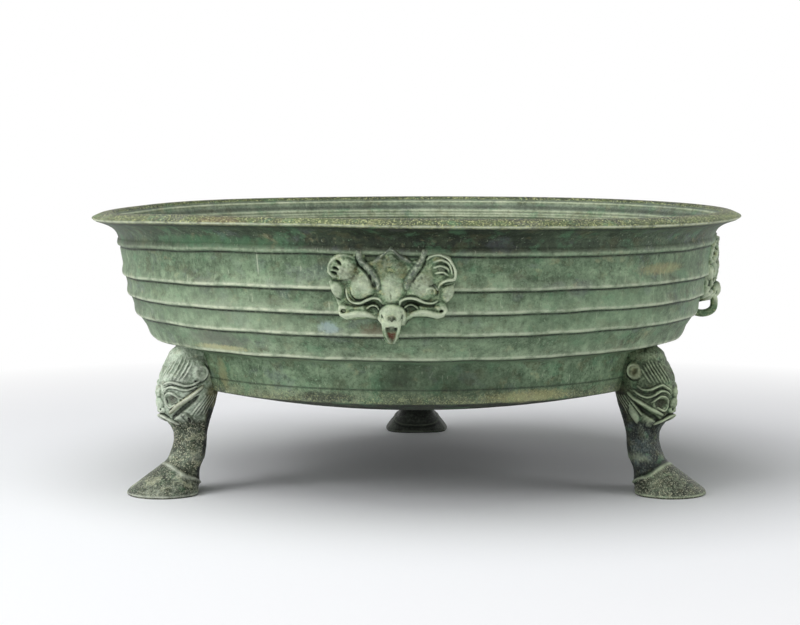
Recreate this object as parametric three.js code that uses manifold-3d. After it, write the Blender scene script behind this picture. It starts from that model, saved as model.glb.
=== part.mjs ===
// Bronze tripod basin: a round cast basin with a flaring rim and raised bands, four monster
// masks on its wall and three legs with beast heads and hooves, held on by cast rivets.
// Millimetres, +Z up. The origin is on the basin's axis, on the surface that the hooves stand on.
// Azimuths are in degrees from the front (-Y), positive towards +X.
import * as THREE from "three";
import { mergeVertices } from "three/addons/utils/BufferGeometryUtils.js";
import Module from "manifold-3d";

const wasm = await Module();
wasm.setup();

// Fit between castings that touch, and the number of flats round the basin.
const FIT_GAP = 0.3;
const BASIN_FLATS = 52;

// Basin: heights are above the surface it stands on, radii are from its axis.
const RIM_RADIUS = 190;
const RIM_TOP = 157.5;
const LIP_HEIGHT = 5;
const LIP_WIDTH = 7.4;
const LIP_UNDERCUT = 1.4;
const WALL = 3;
const EDGE_RADIUS = 137;
const EDGE_HEIGHT = 57;
const BASE_SAG = 16;
const DRUM_TOP_RADIUS = 143.2;
const LEDGE = 2.8;
const SEAM_RADIUS = 139.6;
const SEAM_HEIGHT = 65.5;
const SEAM_STEP = 0.6;

// Raised bands, from the shoulder under the rim down to the waist: radius and height of each crest.
const SHOULDER_RADIUS = 175.8;
const SHOULDER_HEIGHT = 139;
const SECOND_BAND_RADIUS = 172.6;
const SECOND_BAND_HEIGHT = 120.8;
const THIRD_BAND_RADIUS = 169.8;
const THIRD_BAND_HEIGHT = 108.4;
const FOURTH_BAND_RADIUS = 165;
const FOURTH_BAND_HEIGHT = 96.6;
const WAIST_RADIUS = 155.6;
const WAIST_HEIGHT = 83.2;
const BANDS = [
  { radius: SHOULDER_RADIUS, height: SHOULDER_HEIGHT },
  { radius: SECOND_BAND_RADIUS, height: SECOND_BAND_HEIGHT },
  { radius: THIRD_BAND_RADIUS, height: THIRD_BAND_HEIGHT },
  { radius: FOURTH_BAND_RADIUS, height: FOURTH_BAND_HEIGHT },
  { radius: WAIST_RADIUS, height: WAIST_HEIGHT },
];
const BAND_RISE = 1.5;
const BAND_SLOPE = 3;
const BAND_UNDERCUT = 1;

// Legs: hoof sizes are at the floor, head sizes are about the basin's lower edge.
const LEG_AZIMUTHS = { front_left: -60, front_right: 60, back: 180 };
const HOOF_CIRCLE = 163.2;
const SOLE_HALF_LENGTH = 20.3;
const SOLE_HALF_WIDTH = 21;
const HOOF_EDGE = 1.6;
const CORONET_HEIGHT = 15.5;
const CORONET_HALF_WIDTH = 11.6;
const CORONET_HALF_DEPTH = 10.6;
const CORONET_OUTSET = 15;
const CORONET_LEDGE = 1.6;
const SHANK_HALF_WIDTH = 8.8;
const SHANK_HALF_DEPTH = 8.6;
const SHANK_OUTSET = 10.6;
const HEAD_HALF_WIDTH = 13.2;
const HEAD_HALF_DEPTH = 18.2;
const HEAD_OUTSET = 11;
const CHIN_DROP = 16.5;
const CROWN_RISE = 24.5;
const LEG_SIDES = 14;
const LEG_WALL = 3.4;
const CORE_FLOOR = 11;
const CORE_TOP_RISE = 5;

// Masks: centred a little below the second band.
const MASK_TURN = -4.2;
const LEFT_MASK_SHIFT = -9;
const MASK_HALF_WIDTH = 33;
const MASK_DROP = 2.3;
const MASK_EDGE = 0.6;
const MASK_BODY = 1.8;
const MASK_EAR_SPREAD = 25;
const MASK_EAR_RISE = 13.6;
const EAR_RADIUS = 6.3;
const EAR_BULGE = 2;
const SNOUT_DROP = 10.4;
const SNOUT_RADIUS = 6;
const LOOP_BAR = 4;
const LOOP_HOLE_DEPTH = 7;
const LOOP_HOLE_HEIGHT = 6.6;
const LOOP_WIDTH = 10;
const LOOP_TIP_WIDTH = 5;

// Cast rivets.
const MASK_RIVET_RADIUS = 2;
const MASK_RIVET_DEPTH = 1.8;
const LEG_RIVET_RADIUS = 3;
const LEG_RIVET_SPREAD = 6;
const LEG_RIVET_RISE = 15.5;
const LEG_RIVET_DEPTH = 9;
const RIVET_HEAD_OVERHANG = 2.4;
const RIVET_HEAD_HEIGHT = 2.2;
const RIVET_SIDES = 10;

const radians = THREE.MathUtils.degToRad;

// A closed mesh as a solid, turned inside out first if its faces point inwards.
function solidOf(geometry) {
  const bare = new THREE.BufferGeometry()
    .setAttribute("position", geometry.getAttribute("position").clone())
    .setIndex(geometry.index);
  const merged = mergeVertices(bare, 1e-4);
  const triVerts = new Uint32Array(merged.index.array);
  const make = () =>
    new wasm.Manifold(
      new wasm.Mesh({ numProp: 3, vertProperties: merged.attributes.position.array, triVerts }),
    );
  const made = make();
  if (made.volume() >= 0) return made;
  for (let i = 0; i < triVerts.length; i += 3)
    [triVerts[i + 1], triVerts[i + 2]] = [triVerts[i + 2], triVerts[i + 1]];
  return make();
}

// A solid as a three.js geometry.
function geometryOf(solid) {
  const mesh = solid.getMesh();
  const positions = new Float32Array(mesh.numVert * 3);
  for (let i = 0; i < mesh.numVert; i++) {
    const start = i * mesh.numProp;
    positions.set(mesh.vertProperties.subarray(start, start + 3), i * 3);
  }
  const geometry = new THREE.BufferGeometry()
    .setAttribute("position", new THREE.BufferAttribute(positions, 3))
    .setIndex(new THREE.BufferAttribute(new Uint32Array(mesh.triVerts), 1));
  geometry.computeVertexNormals();
  return geometry;
}

const joined = (solids) => solids.reduce((whole, next) => whole.add(next));

// A solid of revolution about Z from [radius, height] points that start and end on the axis
// or close on themselves.
function turned(points, flats) {
  const profile = points.map(([radius, height]) => new THREE.Vector2(radius, height));
  return solidOf(new THREE.LatheGeometry(profile, flats).rotateX(Math.PI / 2));
}

// A closed skin over rings of points that all have the same count, with a fan at each end.
function skin(rings) {
  const count = rings[0].length;
  const centre = (ring) =>
    ring.reduce((sum, p) => sum.add(p), new THREE.Vector3()).divideScalar(ring.length);
  const points = [...rings.flat(), centre(rings[0]), centre(rings.at(-1))];
  const faces = [];
  for (let k = 0; k + 1 < rings.length; k++)
    for (let i = 0; i < count; i++) {
      const [a, b] = [k * count + i, k * count + ((i + 1) % count)];
      faces.push(a, b, b + count, a, b + count, a + count);
    }
  const last = (rings.length - 1) * count;
  for (let i = 0; i < count; i++) {
    const j = (i + 1) % count;
    faces.push(j, i, points.length - 2, last + i, last + j, points.length - 1);
  }
  const geometry = new THREE.BufferGeometry().setFromPoints(points).setIndex(faces);
  return solidOf(geometry);
}

// A raised stroke: a ridge along a smooth path on a surface, tapering at both ends. The path holds
// [across, up] points, and place(across, up, height) gives the point on the surface.
function stroke(path, width, height, place, { steps = 8, sink = 1.2, taper = 0.35 } = {}) {
  const curve = new THREE.SplineCurve(path.map(([x, y]) => new THREE.Vector2(x, y)));
  const rings = [];
  for (let k = 0; k <= steps; k++) {
    const t = k / steps;
    const at = curve.getPoint(t);
    const along = curve.getTangent(t);
    const swell = taper + (1 - taper) * Math.sqrt(Math.sin(Math.PI * t));
    const half = (width / 2) * swell;
    const corner = (side, rise) =>
      place(at.x - along.y * half * side, at.y + along.x * half * side, rise);
    rings.push([
      corner(-1, -sink),
      corner(-0.55, height * swell),
      corner(0.55, height * swell),
      corner(1, -sink),
    ]);
  }
  return skin(rings);
}

// A rounded lump on a surface: a stretched ball centred at [across, up, height].
function lump([across, up, height], [halfWidth, halfHeight, rise], place, sides = 8) {
  const ball = new THREE.SphereGeometry(1, sides, Math.max(3, sides - 3));
  const position = ball.getAttribute("position");
  for (let i = 0; i < position.count; i++) {
    const p = place(
      across + halfWidth * position.getX(i),
      up + halfHeight * position.getY(i),
      height + rise * position.getZ(i),
    );
    position.setXYZ(i, p.x, p.y, p.z);
  }
  return solidOf(ball);
}

const MASK_HEIGHT = BANDS[1].height - MASK_DROP;

// Basin outline, from the middle of the base out and up to the lip's outer edge.
const LIP_BOTTOM = RIM_TOP - LIP_HEIGHT;
const DRUM_TOP_HEIGHT = WAIST_HEIGHT - BAND_UNDERCUT - LEDGE;

// Points of the shallow round base, moved out along the axis by offset.
function basePoints(offset) {
  const shares = [0, 0.36, 0.64, 0.85];
  return shares.map((share) => [
    share * EDGE_RADIUS,
    EDGE_HEIGHT - BASE_SAG * (1 - share * share) + offset,
  ]);
}

// The flare from the shoulder band to under the lip: a quarter of an ellipse.
function flarePoints(startRadius, startHeight, endRadius, endHeight, steps) {
  const points = [];
  for (let k = 1; k <= steps; k++) {
    const turn = ((k / steps) * Math.PI) / 2;
    points.push([
      endRadius - (endRadius - startRadius) * Math.cos(turn),
      startHeight + (endHeight - startHeight) * Math.sin(turn),
    ]);
  }
  return points;
}

// One raised band: undercut below the crest, rounded crest, and a slope that runs up into the wall.
const bandFoot = ({ radius, height }) => [radius - BAND_RISE, height - BAND_UNDERCUT];
const bandPoints = (band) => [
  bandFoot(band),
  [band.radius, band.height],
  [band.radius - BAND_RISE * 0.7, band.height + BAND_SLOPE],
];

function outerPoints() {
  const points = basePoints(0);
  points.push([EDGE_RADIUS, EDGE_HEIGHT]);
  points.push([SEAM_RADIUS - SEAM_STEP, SEAM_HEIGHT - SEAM_STEP]);
  points.push([SEAM_RADIUS, SEAM_HEIGHT]);
  points.push([DRUM_TOP_RADIUS, DRUM_TOP_HEIGHT]);
  points.push([WAIST_RADIUS - 2 * BAND_RISE, WAIST_HEIGHT - 1.5 * BAND_UNDERCUT]);
  for (const band of [...BANDS].reverse()) points.push(...bandPoints(band));
  const neck = [SHOULDER_RADIUS - BAND_RISE * 0.5, SHOULDER_HEIGHT + BAND_SLOPE];
  points.push(...flarePoints(neck[0], neck[1], RIM_RADIUS - LIP_UNDERCUT, LIP_BOTTOM, 3));
  points.push([RIM_RADIUS, LIP_BOTTOM + LIP_HEIGHT * 0.26]);
  return points;
}

// Inner outline, from the lip's inner edge down to the middle of the floor.
function innerPoints() {
  const lipInner = [RIM_RADIUS - LIP_WIDTH, RIM_TOP - LIP_HEIGHT * 0.45];
  const neck = [SHOULDER_RADIUS - WALL, SHOULDER_HEIGHT + BAND_UNDERCUT];
  const flare = flarePoints(neck[0], neck[1], lipInner[0], lipInner[1], 3).reverse();
  const points = [...flare, neck];
  for (const band of BANDS.slice(1)) points.push([bandFoot(band)[0] - WALL, band.height]);
  points.push([DRUM_TOP_RADIUS - WALL, DRUM_TOP_HEIGHT + WALL]);
  points.push([SEAM_RADIUS - WALL, SEAM_HEIGHT]);
  points.push([EDGE_RADIUS - WALL * 1.33, EDGE_HEIGHT + WALL]);
  points.push(...basePoints(WALL).reverse());
  return points;
}

// Moves each point of an outline sideways by a distance, to the right of its direction.
function offsetPoints(points, distance) {
  return points.map(([r, z], i) => {
    const before = points[Math.max(0, i - 1)];
    const after = points[Math.min(points.length - 1, i + 1)];
    const along = new THREE.Vector2(after[0] - before[0], after[1] - before[1]).normalize();
    return [Math.max(0, r + along.y * distance), z - along.x * distance];
  });
}

// The outside of the basin as a full solid, grown by the fit gap: it cuts what seats on the wall.
function basinEnvelope() {
  const points = offsetPoints(outerPoints(), FIT_GAP);
  points[0][0] = 0;
  const top = RIM_TOP + FIT_GAP;
  return turned([...points, [RIM_RADIUS + FIT_GAP, top], [0, top]], BASIN_FLATS);
}

// The space inside the basin, drawn in by the fit gap: rivet heads keep to it.
function basinInside() {
  const points = offsetPoints(innerPoints(), FIT_GAP).map(([r, z]) => [Math.max(0, r), z]);
  points[points.length - 1][0] = 0;
  return turned([[0, points[0][1]], ...points], BASIN_FLATS);
}

function basinWall() {
  const lip = [
    [RIM_RADIUS - LIP_WIDTH * 0.14, RIM_TOP - LIP_HEIGHT * 0.32],
    [RIM_RADIUS - LIP_WIDTH * 0.46, RIM_TOP],
    [RIM_RADIUS - LIP_WIDTH * 0.82, RIM_TOP - LIP_HEIGHT * 0.1],
  ];
  return turned([...outerPoints(), ...lip, ...innerPoints()], BASIN_FLATS);
}

// Radius of the smooth wall at a height, leaving the bands out.
function wallRadius(height) {
  const feet = [
    [EDGE_RADIUS, EDGE_HEIGHT],
    [SEAM_RADIUS, SEAM_HEIGHT],
    [DRUM_TOP_RADIUS, DRUM_TOP_HEIGHT],
    ...[...BANDS].reverse().map(bandFoot),
  ];
  let i = 1;
  while (i < feet.length - 1 && feet[i][1] < height) i++;
  const [below, above] = [feet[i - 1], feet[i]];
  const share = Math.min(1, Math.max(0, (height - below[1]) / (above[1] - below[1])));
  return below[0] + share * (above[0] - below[0]);
}

// Leg sections, hoof to crown: height, radius of the centre, half depth (radial) and half width.
const SHANK_CENTRE = EDGE_RADIUS + SHANK_OUTSET;
const HEAD_CENTRE = EDGE_RADIUS + HEAD_OUTSET;
const CHIN_HEIGHT = EDGE_HEIGHT - CHIN_DROP;
const PASTERN_HEIGHT = (CORONET_HEIGHT + CHIN_HEIGHT) / 2;
const MID_HOOF_HEIGHT = CORONET_HEIGHT * 0.55;
const LEG_SECTIONS = [
  [0, HOOF_CIRCLE, SOLE_HALF_LENGTH, SOLE_HALF_WIDTH],
  [HOOF_EDGE, HOOF_CIRCLE, SOLE_HALF_LENGTH, SOLE_HALF_WIDTH],
  [
    MID_HOOF_HEIGHT,
    HOOF_CIRCLE + 0.55 * (EDGE_RADIUS + CORONET_OUTSET - HOOF_CIRCLE) + CORONET_LEDGE,
    (SOLE_HALF_LENGTH + CORONET_HALF_DEPTH) / 2,
    (SOLE_HALF_WIDTH + CORONET_HALF_WIDTH) / 2,
  ],
  [CORONET_HEIGHT, EDGE_RADIUS + CORONET_OUTSET, CORONET_HALF_DEPTH, CORONET_HALF_WIDTH],
  [
    CORONET_HEIGHT + CORONET_LEDGE,
    EDGE_RADIUS + CORONET_OUTSET - CORONET_LEDGE,
    CORONET_HALF_DEPTH - CORONET_LEDGE * 0.9,
    CORONET_HALF_WIDTH - CORONET_LEDGE * 0.9,
  ],
  [PASTERN_HEIGHT * 0.93, SHANK_CENTRE, SHANK_HALF_DEPTH, SHANK_HALF_WIDTH],
  [CHIN_HEIGHT * 0.83, SHANK_CENTRE, SHANK_HALF_DEPTH, SHANK_HALF_WIDTH],
  [CHIN_HEIGHT * 0.963, SHANK_CENTRE, SHANK_HALF_DEPTH * 1.23, SHANK_HALF_WIDTH * 1.07],
  [CHIN_HEIGHT * 1.074, HEAD_CENTRE, HEAD_HALF_DEPTH * 0.8, HEAD_HALF_WIDTH * 0.8],
  [CHIN_HEIGHT * 1.247, HEAD_CENTRE, HEAD_HALF_DEPTH * 0.92, HEAD_HALF_WIDTH * 0.92],
  [EDGE_HEIGHT, HEAD_CENTRE, HEAD_HALF_DEPTH, HEAD_HALF_WIDTH],
  [EDGE_HEIGHT + CROWN_RISE * 0.37, HEAD_CENTRE, HEAD_HALF_DEPTH * 0.96, HEAD_HALF_WIDTH * 0.98],
  [EDGE_HEIGHT + CROWN_RISE * 0.7, HEAD_CENTRE, HEAD_HALF_DEPTH * 0.78, HEAD_HALF_WIDTH * 0.91],
  [EDGE_HEIGHT + CROWN_RISE, HEAD_CENTRE, HEAD_HALF_DEPTH * 0.54, HEAD_HALF_WIDTH * 0.74],
];

// The leg's section at a height, between the listed ones.
function legSection(height) {
  const last = LEG_SECTIONS.length - 1;
  let i = 1;
  while (i < last && LEG_SECTIONS[i][0] < height) i++;
  const [below, above] = [LEG_SECTIONS[i - 1], LEG_SECTIONS[i]];
  const share = (height - below[0]) / (above[0] - below[0]);
  return below.map((value, k) => value + share * (above[k] - value));
}

// A point of the leg, which faces -Y, at an angle from its front, risen out of its surface.
function onLeg(angle, height, rise) {
  const [, centre, depth, width] = legSection(height);
  const x = (width + rise) * Math.sin(angle);
  const y = centre + (depth + rise) * Math.cos(angle);
  return new THREE.Vector3(x, -y, height);
}

function legRing(height, rise) {
  const ring = [];
  for (let i = 0; i < LEG_SIDES; i++)
    ring.push(onLeg((2 * Math.PI * i) / LEG_SIDES, height, rise));
  return ring;
}

// Clay core left inside the hollow leg from its casting; grow widens it for the cavity.
function legCore(grow) {
  const heights = [
    CORE_FLOOR - grow,
    CORONET_HEIGHT,
    PASTERN_HEIGHT,
    CHIN_HEIGHT,
    CHIN_HEIGHT * 1.2,
    EDGE_HEIGHT + CORE_TOP_RISE + grow,
  ];
  return skin(heights.map((height) => legRing(height, grow - LEG_WALL)));
}

// A place on the beast head: across is measured round its front, up from the basin's lower edge.
// The carving is drawn at a half width of 13.2 and grows with the head.
const HEAD_SCALE = HEAD_HALF_WIDTH / 13.2;
const onHead = (across, up, rise) =>
  onLeg((across * HEAD_SCALE) / HEAD_HALF_WIDTH, EDGE_HEIGHT + up * HEAD_SCALE, rise * HEAD_SCALE);

// The beast head on the front of the leg: ears, brows, eyes, cheeks, forehead locks, nose and lip.
function headPieces() {
  const pieces = [];
  for (const side of [-1, 1]) {
    const place = (across, up, rise) => onHead(side * across, up, rise);
    const add = (path, width, height, steps) =>
      pieces.push(stroke(path, width, height, place, { steps }));
    // Ear, then the two brow ridges that dip towards the eye.
    pieces.push(lump([20.4, 10.4, 0], [3.6, 4.8, 2.4], place, 8));
    add([[1.6, 2], [5.6, 4.4], [11, 1], [16, 2], [18, 5.4]], 2.2, 1.8, 6);
    add([[3, -4], [7, -1.4], [11.5, -3.4], [19, 1.6]], 2, 1.5, 5);
    // Eye, cheek ridge and forehead locks.
    pieces.push(lump([9.4, -5.4, 0], [2.6, 2.4, 1.4], place, 6));
    add([[3.6, -10.4], [8, -9.6], [14, -5], [20, -1.6]], 2.2, 1.5, 5);
    add([[4, 6.6], [5.4, 13], [6, 21]], 1.8, 0.9, 3);
    add([[8.4, 6.4], [10.4, 13], [10.4, 19]], 1.8, 0.9, 3);
  }
  pieces.push(stroke([[0, 7], [0, 22]], 1.8, 0.9, onHead, { steps: 2 }));
  // Nose, then the lip and tongue that stick out under it.
  pieces.push(lump([0, -9.6, 0], [4.6, 4.6, 2.4], onHead, 7));
  pieces.push(lump([0, -14.8, 0], [4.6, 1.7, 3.4], onHead, 7));
  return pieces;
}

// A rivet's round shaft along -Y at x = 0, from one distance to another.
function rivetShaft(radius, from, to) {
  const shaft = new THREE.CylinderGeometry(radius, radius, to - from, RIVET_SIDES);
  return solidOf(shaft.translate(0, -(to + from) / 2, 0));
}

// A rivet's domed head, whose back reaches into the wall at a distance and is cut to it later.
function rivetHead(radius, wallInside) {
  const width = radius + RIVET_HEAD_OVERHANG;
  const depth = WALL + RIVET_HEAD_HEIGHT;
  const profile = [
    [0, 0], [width, 0], [width, WALL + RIVET_HEAD_HEIGHT * 0.4],
    [width * 0.6, WALL + RIVET_HEAD_HEIGHT * 0.9], [0, depth],
  ].map(([r, y]) => new THREE.Vector2(r, y));
  const dome = new THREE.LatheGeometry(profile, RIVET_SIDES);
  return solidOf(dome.translate(0, -wallInside - WALL, 0));
}

const turnedTo = (solid, azimuth) => solid.rotate([0, 0, azimuth]);

// Where the rivets are: each has a name, an azimuth, a height, a radius and the wall radius there.
function rivetPlaces() {
  const places = [];
  const add = (name, azimuth, height, radius, depth) =>
    places.push({ name, azimuth, height, radius, depth, wall: wallRadius(height) });
  const spot = (spread, height) => THREE.MathUtils.radToDeg(spread / wallRadius(height));
  const legHeight = EDGE_HEIGHT + LEG_RIVET_RISE;
  const maskHeight = MASK_HEIGHT + MASK_EAR_RISE;
  for (const [name, azimuth] of Object.entries(LEG_AZIMUTHS))
    for (const [side, sign] of [["left", -1], ["right", 1]]) {
      const turn = sign * spot(LEG_RIVET_SPREAD, legHeight);
      add(`leg_rivet_${name}_${side}`, azimuth + turn, legHeight, LEG_RIVET_RADIUS, LEG_RIVET_DEPTH);
    }
  for (const [name, azimuth] of Object.entries(maskAzimuths()))
    for (const [side, sign] of [["left", -1], ["right", 1]]) {
      const turn = sign * THREE.MathUtils.radToDeg(acrossAngle(MASK_EAR_SPREAD));
      add(`mask_rivet_${name}_${side}`, azimuth + turn, maskHeight, MASK_RIVET_RADIUS, MASK_RIVET_DEPTH);
    }
  return places;
}

// The masks are a quarter turn apart, but the left one sits a little further back.
function maskAzimuths() {
  return {
    front: MASK_TURN,
    right: MASK_TURN + 90,
    back: MASK_TURN + 180,
    left: MASK_TURN + 270 + LEFT_MASK_SHIFT,
  };
}

// The angle round the basin of a distance across a mask.
const acrossAngle = (across) => across / wallRadius(MASK_HEIGHT);

// A point on the wall for a mask that faces -Y: across and up are distances from its centre.
function onWall(across, up, rise = 0) {
  const height = MASK_HEIGHT + up;
  const angle = acrossAngle(across);
  const radius = wallRadius(height) + BAND_RISE * 0.4 + rise;
  return new THREE.Vector3(radius * Math.sin(angle), -radius * Math.cos(angle), height);
}

// The same for the mask's face, which is drawn for a half width of 33 and grows with the mask.
const MASK_SCALE = MASK_HALF_WIDTH / 33;
const onFace = (across, up, rise) =>
  onWall(across * MASK_SCALE, up * MASK_SCALE, rise * MASK_SCALE);

// Outline of the mask, from its left edge to its right: across, top and bottom.
const MASK_OUTLINE = [
  [-33, 14, 9], [-30, 18, 0], [-25, 20.4, -11], [-16, 21, -11], [-7, 17.4, -12], [0, 22.6, -14],
  [7, 17.4, -12], [16, 21, -11], [25, 20.4, -11], [30, 18, 0], [33, 14, 9],
];

// The mask's body is a plate that follows the wall, thin at its edge and thicker below its middle.
function maskBody() {
  const rings = MASK_OUTLINE.map((drawn) => {
    const [across, top, bottom] = drawn.map((value) => value * MASK_SCALE);
    return [
      onWall(across, bottom, -MASK_EDGE - BAND_RISE),
      onWall(across, bottom, MASK_EDGE),
      onWall(across, bottom * 0.7 + top * 0.3, MASK_BODY),
      onWall(across, top, MASK_EDGE),
      onWall(across, top, -MASK_EDGE - BAND_RISE),
    ];
  });
  return skin(rings);
}

// The loop under the snout, which a ring handle hung from: the open jaw runs out from the snout,
// down and back to the wall round a hole, and narrows towards the chin.
function maskLoop() {
  const top = -SNOUT_DROP;
  const holeTop = top - LOOP_BAR;
  const holeBottom = holeTop - LOOP_HOLE_HEIGHT;
  const chin = holeBottom - LOOP_BAR;
  const seat = wallRadius(MASK_HEIGHT + holeBottom);
  const reach = LOOP_HOLE_DEPTH + LOOP_BAR;
  const points = (list) => list.map(([rise, up]) => new THREE.Vector2(rise, up));
  const shape = new THREE.Shape(
    points([
      [-2, top], [reach, top], [reach, holeBottom + LOOP_BAR], [reach - 1.5, holeBottom],
      [reach - LOOP_BAR, chin + 1], [-2, chin],
    ]),
  );
  const hole = [
    [-1, holeBottom], [LOOP_HOLE_DEPTH - 1.2, holeBottom], [LOOP_HOLE_DEPTH, holeBottom + 1.6],
    [LOOP_HOLE_DEPTH, holeTop], [-1, holeTop],
  ];
  shape.holes.push(new THREE.Path(points(hole)));
  const bar = new THREE.ExtrudeGeometry(shape, { depth: 1, bevelEnabled: false });
  const position = bar.getAttribute("position");
  for (let i = 0; i < position.count; i++) {
    const [rise, up] = [position.getX(i), position.getY(i)];
    const width = LOOP_TIP_WIDTH + ((up - chin) / (top - chin)) * (LOOP_WIDTH - LOOP_TIP_WIDTH);
    position.setXYZ(i, (position.getZ(i) - 0.5) * width, -seat - rise, MASK_HEIGHT + up);
  }
  return solidOf(bar);
}

// One mask, facing -Y. Its features are drawn once and mirrored to the other side.
function mask() {
  const pieces = [maskBody(), maskLoop()];
  for (const side of [-1, 1]) {
    const place = (across, up, rise) => onFace(side * across, up, rise);
    const add = (path, width, height, steps) =>
      pieces.push(stroke(path, width, height, place, { steps }));
    // Ear, with its curled outer edge.
    pieces.push(
      lump([side * MASK_EAR_SPREAD, MASK_EAR_RISE, 0.5], [EAR_RADIUS, EAR_RADIUS, EAR_BULGE], onWall, 7),
    );
    add([[17.5, 18], [22.5, 20.6], [28.5, 19], [32, 14], [31, 8.6], [26, 8.4]], 2.6, 2.8, 7);
    // Horn, from the top down to the inner end of the brow.
    add([[16.3, 23], [15.2, 18], [11.6, 14], [8.4, 10], [7.6, 3.6]], 3.4, 3.2, 5);
    // Brow, dipping over the cheek and curling up at its outer end.
    add([[4.6, -3.8], [9.4, -0.6], [16, -4], [20.6, -3.6], [22.2, 1.4]], 2.6, 4.6, 6);
    // Whisker band, curling up at its end.
    add([[6, -9.4], [16.4, -8.4], [22.4, -10.8], [27.4, -9.6], [26, -5.4]], 3.2, 4, 7);
    // Lobe under the ear, then the eye.
    pieces.push(lump([28.6, 2.4, 0.4], [3.8, 4.4, 2.2], place, 6));
    pieces.push(lump([9.2, -6, 1.4], [3.2, 2.2, 2.8], place, 6));
  }
  // Forehead, crest and snout.
  pieces.push(lump([0, 5, 0.5], [6, 10, 3.2], onFace, 7));
  pieces.push(stroke([[-8.6, 17], [0, 24], [8.6, 17]], 2.4, 1.8, onFace, { steps: 4 }));
  pieces.push(
    lump([0, -SNOUT_DROP, SNOUT_RADIUS - 1.4], [SNOUT_RADIUS, SNOUT_RADIUS, SNOUT_RADIUS - 1], onWall, 9),
  );
  return joined(pieces);
}

// Builds every piece as a solid in its place, keyed by its node's name.
function buildPieces() {
  const envelope = basinEnvelope();
  const inside = basinInside();
  const pieces = {};

  let basin = basinWall();
  const rivets = rivetPlaces();
  for (const { name, azimuth, height, radius, depth, wall } of rivets) {
    const place = (solid) => turnedTo(solid.translate([0, 0, height]), azimuth);
    const wallInside = wall - WALL;
    const head = place(rivetHead(radius, wallInside)).intersect(inside);
    const shaft = place(rivetShaft(radius, wallInside - RIVET_HEAD_HEIGHT / 2, wall + depth));
    pieces[name] = joined([head, shaft]);
    basin = basin.subtract(place(rivetShaft(radius + FIT_GAP, wall - 3 * WALL, wall + 2 * WALL)));
  }
  pieces.basin = basin;

  const sockets = rivets.map(({ azimuth, height, radius, depth, wall }) =>
    turnedTo(
      rivetShaft(radius + FIT_GAP, wall - WALL, wall + depth + FIT_GAP).translate([0, 0, height]),
      azimuth,
    ),
  );
  const fitted = (solid) =>
    sockets.reduce((rest, socket) => rest.subtract(socket), solid.subtract(envelope));

  const rings = LEG_SECTIONS.map(([height]) => legRing(height, 0));
  const leg = joined([skin(rings), ...headPieces()]).subtract(legCore(FIT_GAP));
  const core = legCore(0);
  for (const [name, azimuth] of Object.entries(LEG_AZIMUTHS)) {
    pieces[`leg_${name}`] = largest(fitted(turnedTo(leg, azimuth)));
    pieces[`leg_core_${name}`] = largest(turnedTo(core, azimuth).subtract(envelope));
  }

  const plainMask = mask();
  for (const [name, azimuth] of Object.entries(maskAzimuths()))
    pieces[`mask_${name}`] = largest(fitted(turnedTo(plainMask, azimuth)));
  return pieces;
}

// The cuts can leave a loose sliver of what lay inside the basin: the piece is the largest body.
function largest(solid) {
  return solid.decompose().sort((a, b) => b.volume() - a.volume())[0];
}

const FINISHES = {
  basin: { color: 0x6f8468, roughness: 0.62, metalness: 0.45 },
  leg: { color: 0x4f5b46, roughness: 0.6, metalness: 0.5 },
  core: { color: 0x8a5a3c, roughness: 0.95, metalness: 0 },
  mask: { color: 0x7c9275, roughness: 0.6, metalness: 0.45 },
  rivet: { color: 0x5d6d54, roughness: 0.6, metalness: 0.5 },
};

function finishOf(name) {
  const kind = ["core", "rivet", "leg", "mask"].find((word) => name.includes(word)) ?? "basin";
  return new THREE.MeshStandardMaterial(FINISHES[kind]);
}

const tripodBasin = new THREE.Group();
for (const [name, solid] of Object.entries(buildPieces())) {
  const piece = new THREE.Mesh(geometryOf(solid), finishOf(name));
  piece.name = name;
  tripodBasin.add(piece);
}

export default tripodBasin;
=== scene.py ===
"""A bronze tripod basin: a banded bowl, four masks with loops and three beast-headed legs.

Sizes in the classes are in millimetres and become metres as each mesh is made. Azimuths are in
degrees from the front (-Y), positive towards +X. The origin is on the floor under the bowl's axis.
"""

import logging
import math
from dataclasses import dataclass
from enum import Enum

import bpy
import numpy as np
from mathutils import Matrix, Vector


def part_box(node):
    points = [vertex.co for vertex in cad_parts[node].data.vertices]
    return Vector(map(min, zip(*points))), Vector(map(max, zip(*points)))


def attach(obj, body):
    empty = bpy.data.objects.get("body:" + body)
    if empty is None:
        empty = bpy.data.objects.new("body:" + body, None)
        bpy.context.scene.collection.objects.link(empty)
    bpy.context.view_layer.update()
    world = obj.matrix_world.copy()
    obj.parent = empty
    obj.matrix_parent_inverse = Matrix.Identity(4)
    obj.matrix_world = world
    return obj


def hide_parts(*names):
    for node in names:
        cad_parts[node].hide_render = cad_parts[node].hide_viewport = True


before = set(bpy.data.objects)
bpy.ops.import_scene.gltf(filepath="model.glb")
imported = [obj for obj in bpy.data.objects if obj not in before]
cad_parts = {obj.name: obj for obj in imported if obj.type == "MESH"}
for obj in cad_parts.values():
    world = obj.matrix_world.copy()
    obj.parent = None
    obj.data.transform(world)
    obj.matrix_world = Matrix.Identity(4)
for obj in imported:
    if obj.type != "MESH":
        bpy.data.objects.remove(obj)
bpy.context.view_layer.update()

LOG = logging.getLogger("tripod_basin")
MM = 0.001

Pair = tuple[float, float]
Path = list[Pair]
Colour = tuple[float, float, float]
Marks = dict[str, np.ndarray]
Output = bpy.types.NodeSocket
Paint = Output | Colour

# Azimuths of the masks and of the legs.
MASKS = {"front": -4.2, "right": 85.8, "back": 175.8, "left": 256.8}
LEGS = {"front_left": -60.0, "front_right": 60.0, "back": 180.0}


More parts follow.
